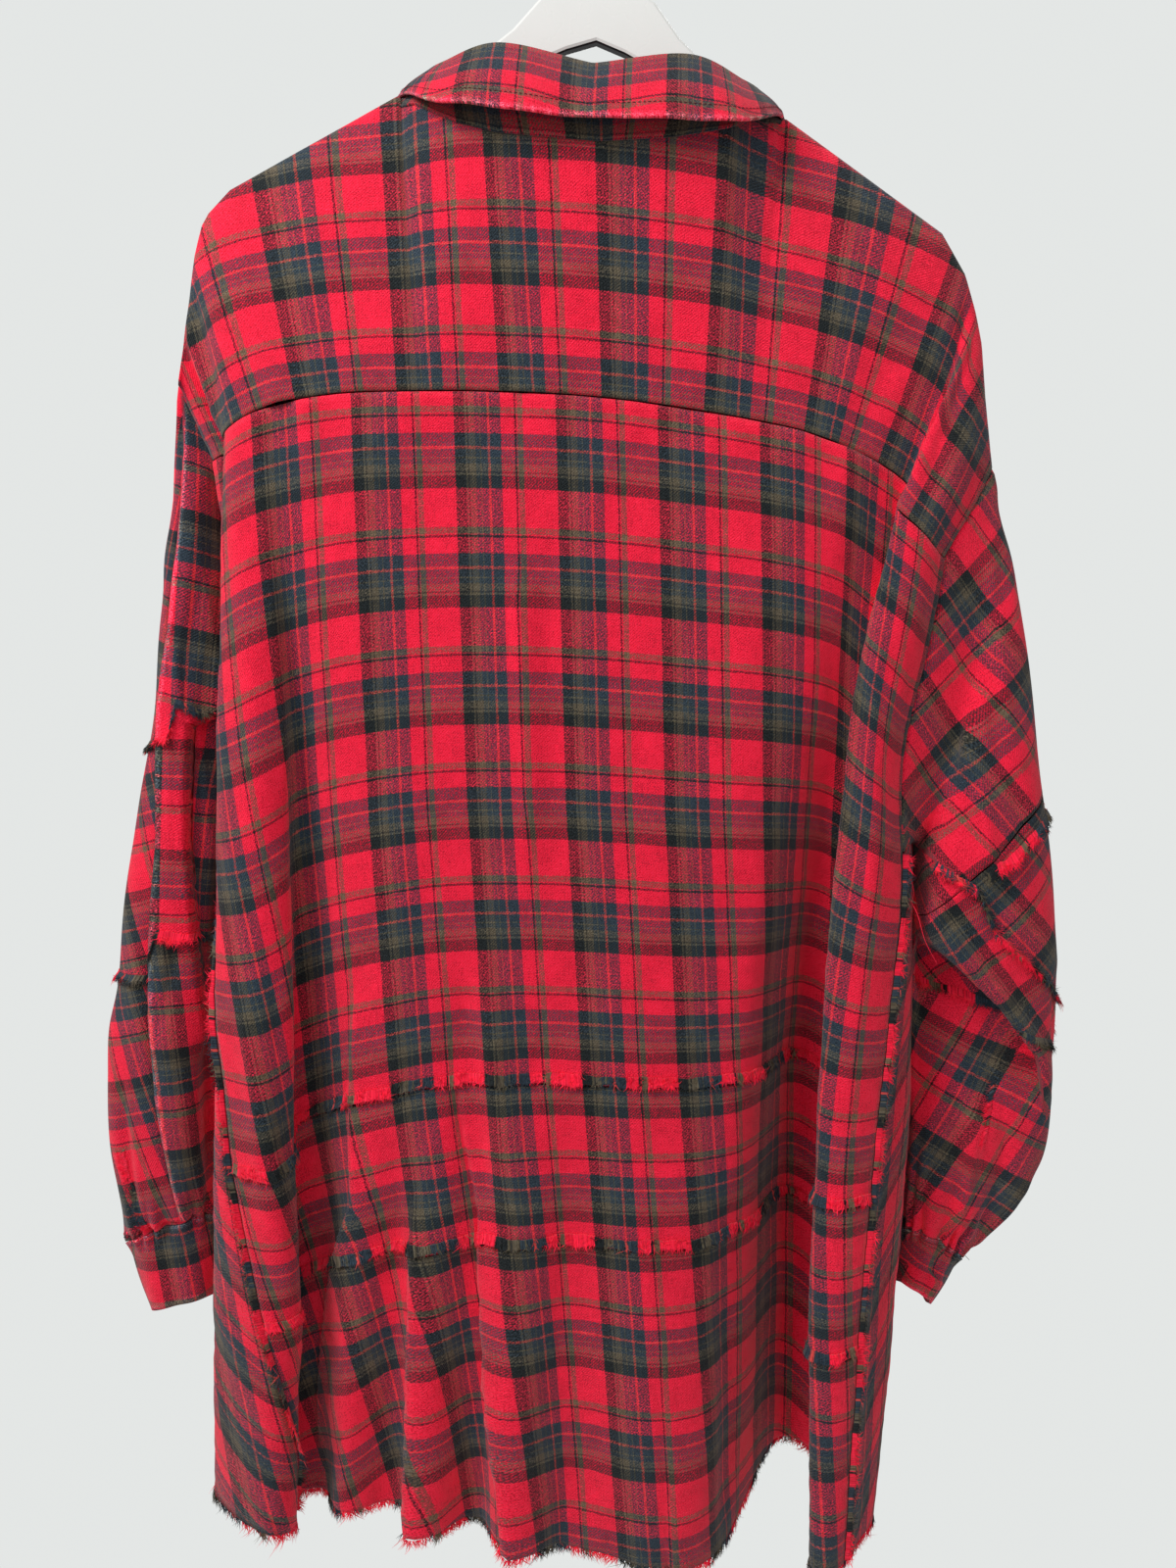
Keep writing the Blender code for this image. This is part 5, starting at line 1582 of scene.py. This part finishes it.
# %% Loose threads
def loose_thread(name, places, thick, tint):
    """A long thread that has come loose: a smooth tube of five sides through a few places."""
    places = np.array(places, float)
    knots = np.arange(len(places))
    line = smooth(knots, places, np.linspace(0, len(places) - 1, 14 * len(places)))
    along = unit(np.gradient(line, axis=0))
    side = unit(np.cross(along, np.array([0.1, 1.0, 0.2])))
    up = np.cross(along, side)
    thin = thick * np.linspace(1, 0.6, len(line))[:, None]
    rings = np.stack([line + (side * math.cos(turn) + up * math.sin(turn)) * thin
                      for turn in np.arange(5) * 2 * math.pi / 5], axis=1)
    count = len(line)
    faces = [(k * 5 + j, k * 5 + (j + 1) % 5, k * 5 + 5 + (j + 1) % 5, k * 5 + 5 + j)
             for k in range(count - 1) for j in range(5)]
    piece = new_object(name, rings, faces, np.full((len(faces), 4, 2), tint))
    shape = bmesh.new()
    shape.from_mesh(piece.data)
    bmesh.ops.holes_fill(shape, edges=[e for e in shape.edges if e.is_boundary], sides=0)
    bmesh.ops.recalc_face_normals(shape, faces=shape.faces)
    shape.to_mesh(piece.data)
    shape.free()
    return finish_piece(piece, THREAD, "flannel")


loose_threads = [loose_thread("loose_thread_" + word, places, thick, tint) for word, places, thick, tint in (
    ("one", ((0.1975, -.030, -.600), (0.1990, -.038, -.612), (0.1930, -.043, -.625), (0.1890, -.044, -.640)),
     0.00030, RED_ENDS),
    ("two", ((0.1940, -.036, -.612), (0.1985, -.048, -.622), (0.2040, -.050, -.640), (0.2120, -.050, -.655)),
     0.00028, RED_ENDS),
    ("three", ((0.1900, -.038, -.615), (0.1860, -.046, -.628), (0.1935, -.049, -.634), (0.1880, -.050, -.650)),
     0.00028, RED_ENDS),
    ("cuff", ((0.2470, 0.008, -.8760), (0.2530, 0.006, -.8790), (0.2590, 0.004, -.8845)), 0.00028, BLACK_ENDS),
)]
print("loose threads:", len(loose_threads))

# %% [markdown]
# A shirt button is a turned disc with a raised rim, sewn on with crossed thread that fills its holes. It
# is a cylinder inset and pushed in to leave the rim, then bevelled; the thread is two crossed bars.

# %% Buttons
BUTTON_R, BUTTON_THICK = 0.0055, 0.0022
RIM, RIM_SLOPE, DISH = 0.0011, 0.0005, 0.0006
SEWING_R, SEWING_LONG = 0.00035, 0.0034


def plastic(name, colour, rough, speckle=0.0):
    made, tree, shader = new_material(name)
    place = node(tree, "ShaderNodeTexCoord", -900, 0)
    cloud = fill(tree, node(tree, "ShaderNodeTexNoise", -700, 0),
                 {"Scale": 60.0, "Detail": 3.0, "Vector": place.outputs["Object"]}).outputs[0]
    tint = fill(tree, node(tree, "ShaderNodeMix", -300, 100, data_type="RGBA"),
                {"Factor": math_node(tree, "MULTIPLY", -500, 100, cloud, speckle),
                 "A": (*colour, 1), "B": (*[c * 0.45 for c in colour], 1)})
    fill(tree, shader, {"Base Color": tint.outputs["Result"],
                        "Roughness": math_node(tree, "MULTIPLY_ADD", -300, -150, cloud, 0.12, rough)})
    return made


BUTTON = plastic("button plastic", (0.040, 0.012, 0.016), 0.25, 0.6)
SEWING = plastic("button thread", (0.16, 0.015, 0.025), 0.8, 0.5)


def cylinder(sides, radius, long, place, turn):
    bpy.ops.object.select_all(action="DESELECT")
    bpy.ops.mesh.primitive_cylinder_add(vertices=sides, radius=radius, depth=long, location=place, rotation=turn)
    return bpy.context.active_object


def make_button(cad_name):
    """A button at its CAD node's place, modelled flat and turned to the node's facing."""
    low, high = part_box(cad_name)
    middle = (low + high) / 2
    piece = cylinder(40, BUTTON_R, BUTTON_THICK, middle, (-math.pi / 2, 0, 0))
    piece.name = cad_name + "_disc"
    bpy.ops.object.transform_apply(location=True, rotation=True, scale=True)
    shape = bmesh.new()
    shape.from_mesh(piece.data)
    face = max(shape.faces, key=lambda f: f.normal.y * (len(f.verts) > 4))
    bmesh.ops.inset_region(shape, faces=[face], thickness=RIM, depth=0.0)
    bmesh.ops.inset_region(shape, faces=[face], thickness=RIM_SLOPE, depth=-DISH)
    shape.to_mesh(piece.data)
    shape.free()
    edge = piece.modifiers.new("edge", "BEVEL")
    edge.width = 0.0003
    edge.segments = 2
    edge.limit_method = "ANGLE"
    apply_modifiers(piece)
    piece.data.shade_smooth()
    finish_piece(piece, BUTTON, "button_plastic", cad_name)
    on_top = middle + Vector((0, BUTTON_THICK / 2 - 0.0004, 0))
    bars = [cylinder(8, SEWING_R, SEWING_LONG, on_top, (0, turn, 0)) for turn in (math.pi / 4, -math.pi / 4)]
    bpy.ops.object.select_all(action="DESELECT")
    for bar in bars:
        bar.select_set(True)
    bpy.context.view_layer.objects.active = bars[0]
    bpy.ops.object.join()
    bpy.ops.object.transform_apply(location=True, rotation=True, scale=True)
    thread = bpy.context.active_object
    thread.name = cad_name + "_thread"
    return piece, finish_piece(thread, SEWING, "button_plastic")


button_names = sorted(name for name in frame["nodes"] if "button" in name)
buttons = [make_button(name) for name in button_names]
print("buttons:", len(buttons))

# %% [markdown]
# One row of stitching runs along the collar's fall, some way above its edge. Each stitch is a short bar
# of five sides, thinner at its ends and half sunk in the cloth.


# %% Stitching
def stitches(name, line, outs, pitch=0.0030, long=0.0021, thick=0.00028):
    """A row of stitches along a line of places, as one mesh."""
    length = run_down(line)
    points, faces = [], []
    for start in np.arange(pitch / 2, length[-1] - pitch, pitch):
        ends = [place_at(line, length, start + d) for d in (0, long / 2, long)]
        out = unit(place_at(outs, length, start))
        way = unit(ends[2] - ends[0])
        side = np.cross(way, out)
        base = len(points)
        for centre, wide, raise_by in zip(ends, (0.5, 1.0, 0.5), (-0.0001, 0.0002, -0.0001)):
            for angle in np.arange(5) * 2 * math.pi / 5:
                around = side * math.cos(angle) + out * math.sin(angle)
                points.append(centre + out * raise_by + around * thick * wide)
        for ring in (base, base + 5):
            faces += [(ring + k, ring + (k + 1) % 5, ring + 5 + (k + 1) % 5, ring + 5 + k) for k in range(5)]
        faces += [[base + k for k in (4, 3, 2, 1, 0)], [base + 10 + k for k in range(5)]]
    return finish_piece(new_object(name, points, faces), SEWING, "flannel")


STITCHED_ROW = 28    # row of the fall's grid on which the stitches lie


def stitch_collar():
    normal = grid_normals(fall_grid)[STITCHED_ROW]
    normal = normal * np.sign(np.sum(normal * fall_out, axis=-1, keepdims=True))
    return stitches("collar_stitching", fall_grid[STITCHED_ROW] + normal * 0.0010, normal)


collar_stitching = stitch_collar()

# %% [markdown]
# The hanger is smooth white moulded plastic with a bright wire hook; its faces that point down are painted near
# black as shade. Both keep their CAD solids, which are already as thin and rounded as the real ones.


# %% Hanger
def hanger_plastic():
    made = plastic("white hanger plastic", (0.86, 0.86, 0.83), 0.22, 0.04)
    tree = made.node_tree
    shader = tree.nodes["Principled BSDF"]
    # Faces that point down are mixed to near black: painted shade on the underside of the hanger's arms.
    facing = node(tree, "ShaderNodeNewGeometry", -900, 400)
    split = fill(tree, node(tree, "ShaderNodeSeparateXYZ", -700, 400), {0: facing.outputs["Normal"]})
    below = fill(tree, node(tree, "ShaderNodeMapRange", -500, 400),
                 {"From Min": -0.35, "From Max": -0.75, "Value": split.outputs["Z"]})
    shade = fill(tree, node(tree, "ShaderNodeMix", -100, 300, data_type="RGBA"),
                 {"Factor": below.outputs[0], "A": shader.inputs["Base Color"].links[0].from_socket,
                  "B": (0.035, 0.037, 0.04, 1)})
    fill(tree, shader, {"Base Color": shade.outputs["Result"]})
    return made


def hook_metal():
    made = plastic("bright hook wire", (0.72, 0.72, 0.73), 0.18, 0.1)
    made.node_tree.nodes["Principled BSDF"].inputs["Metallic"].default_value = 1.0
    return made


for cad_name, look in (("hanger_body", hanger_plastic()), ("hanger_hook", hook_metal())):
    part = frame["nodes"][cad_name]
    part.data.materials.clear()
    part.data.materials.append(look)

# %% [markdown]
# Most cloth pieces have printed their area as they were made.

# %% Pieces made
print("pieces made")

# %% [markdown]
# A pale floor lies well below the hem. A large soft light stands behind the shirt's back, high and to the
# left, with a weak fill beside it; a third lights the shirt's front, and the pale room does the rest. The
# camera looks at the back from a little above the middle, tipped seven degrees down.

# %% Floor, light and camera
bpy.ops.object.select_all(action="DESELECT")
bpy.ops.mesh.primitive_plane_add(size=2.4, location=(0, -0.45, -1.90))
floor = bpy.context.active_object
floor.name = "floor"
floor.data.materials.append(plastic("pale floor", (0.80, 0.81, 0.805), 0.8, 0.02))

room = bpy.data.worlds.new("pale room")
bpy.context.scene.world = room
room.use_nodes = True
air = room.node_tree
seen = fill(air, air.nodes["Background"], {"Color": (0.775, 0.795, 0.785, 1)})
lighting = fill(air, node(air, "ShaderNodeBackground", 0, -200),
                {"Color": (0.80, 0.82, 0.82, 1), "Strength": 0.42})
path = node(air, "ShaderNodeLightPath", -300, 200)
either = fill(air, node(air, "ShaderNodeMixShader", 300, 0),
              {0: path.outputs["Is Camera Ray"], 1: lighting.outputs[0], 2: seen.outputs[0]})
fill(air, air.nodes["World Output"], {"Surface": either.outputs[0]})


def soft_light(name, place, aim, size, power):
    lamp = bpy.data.lights.new(name, "AREA")
    lamp.size = size
    lamp.energy = power
    held = bpy.data.objects.new(name, lamp)
    held.location = place
    held.rotation_euler = (Vector(aim) - Vector(place)).to_track_quat("-Z", "Y").to_euler()
    bpy.context.scene.collection.objects.link(held)
    return held


soft_light("key", (-1.15, -1.05, 0.75), (0, 0, -0.30), 0.7, 28)
soft_light("fill", (0.3, -2.6, 1.1), (0, 0, -0.4), 1.6, 9)
soft_light("front side", (0.8, 2.2, 0.8), (0, 0, -0.5), 1.8, 26)

lens = bpy.data.cameras.new("camera")
lens.lens = 27.05
lens.sensor_width = 36.0
lens.sensor_fit = "AUTO"
lens.clip_start = 0.02
eye = bpy.data.objects.new("camera", lens)
eye.location = (-0.010, -0.78, -0.45)
eye.rotation_euler = (math.radians(83), 0, 0)
bpy.context.scene.collection.objects.link(eye)
bpy.context.scene.camera = eye
bpy.context.scene.view_settings.view_transform = "Standard"
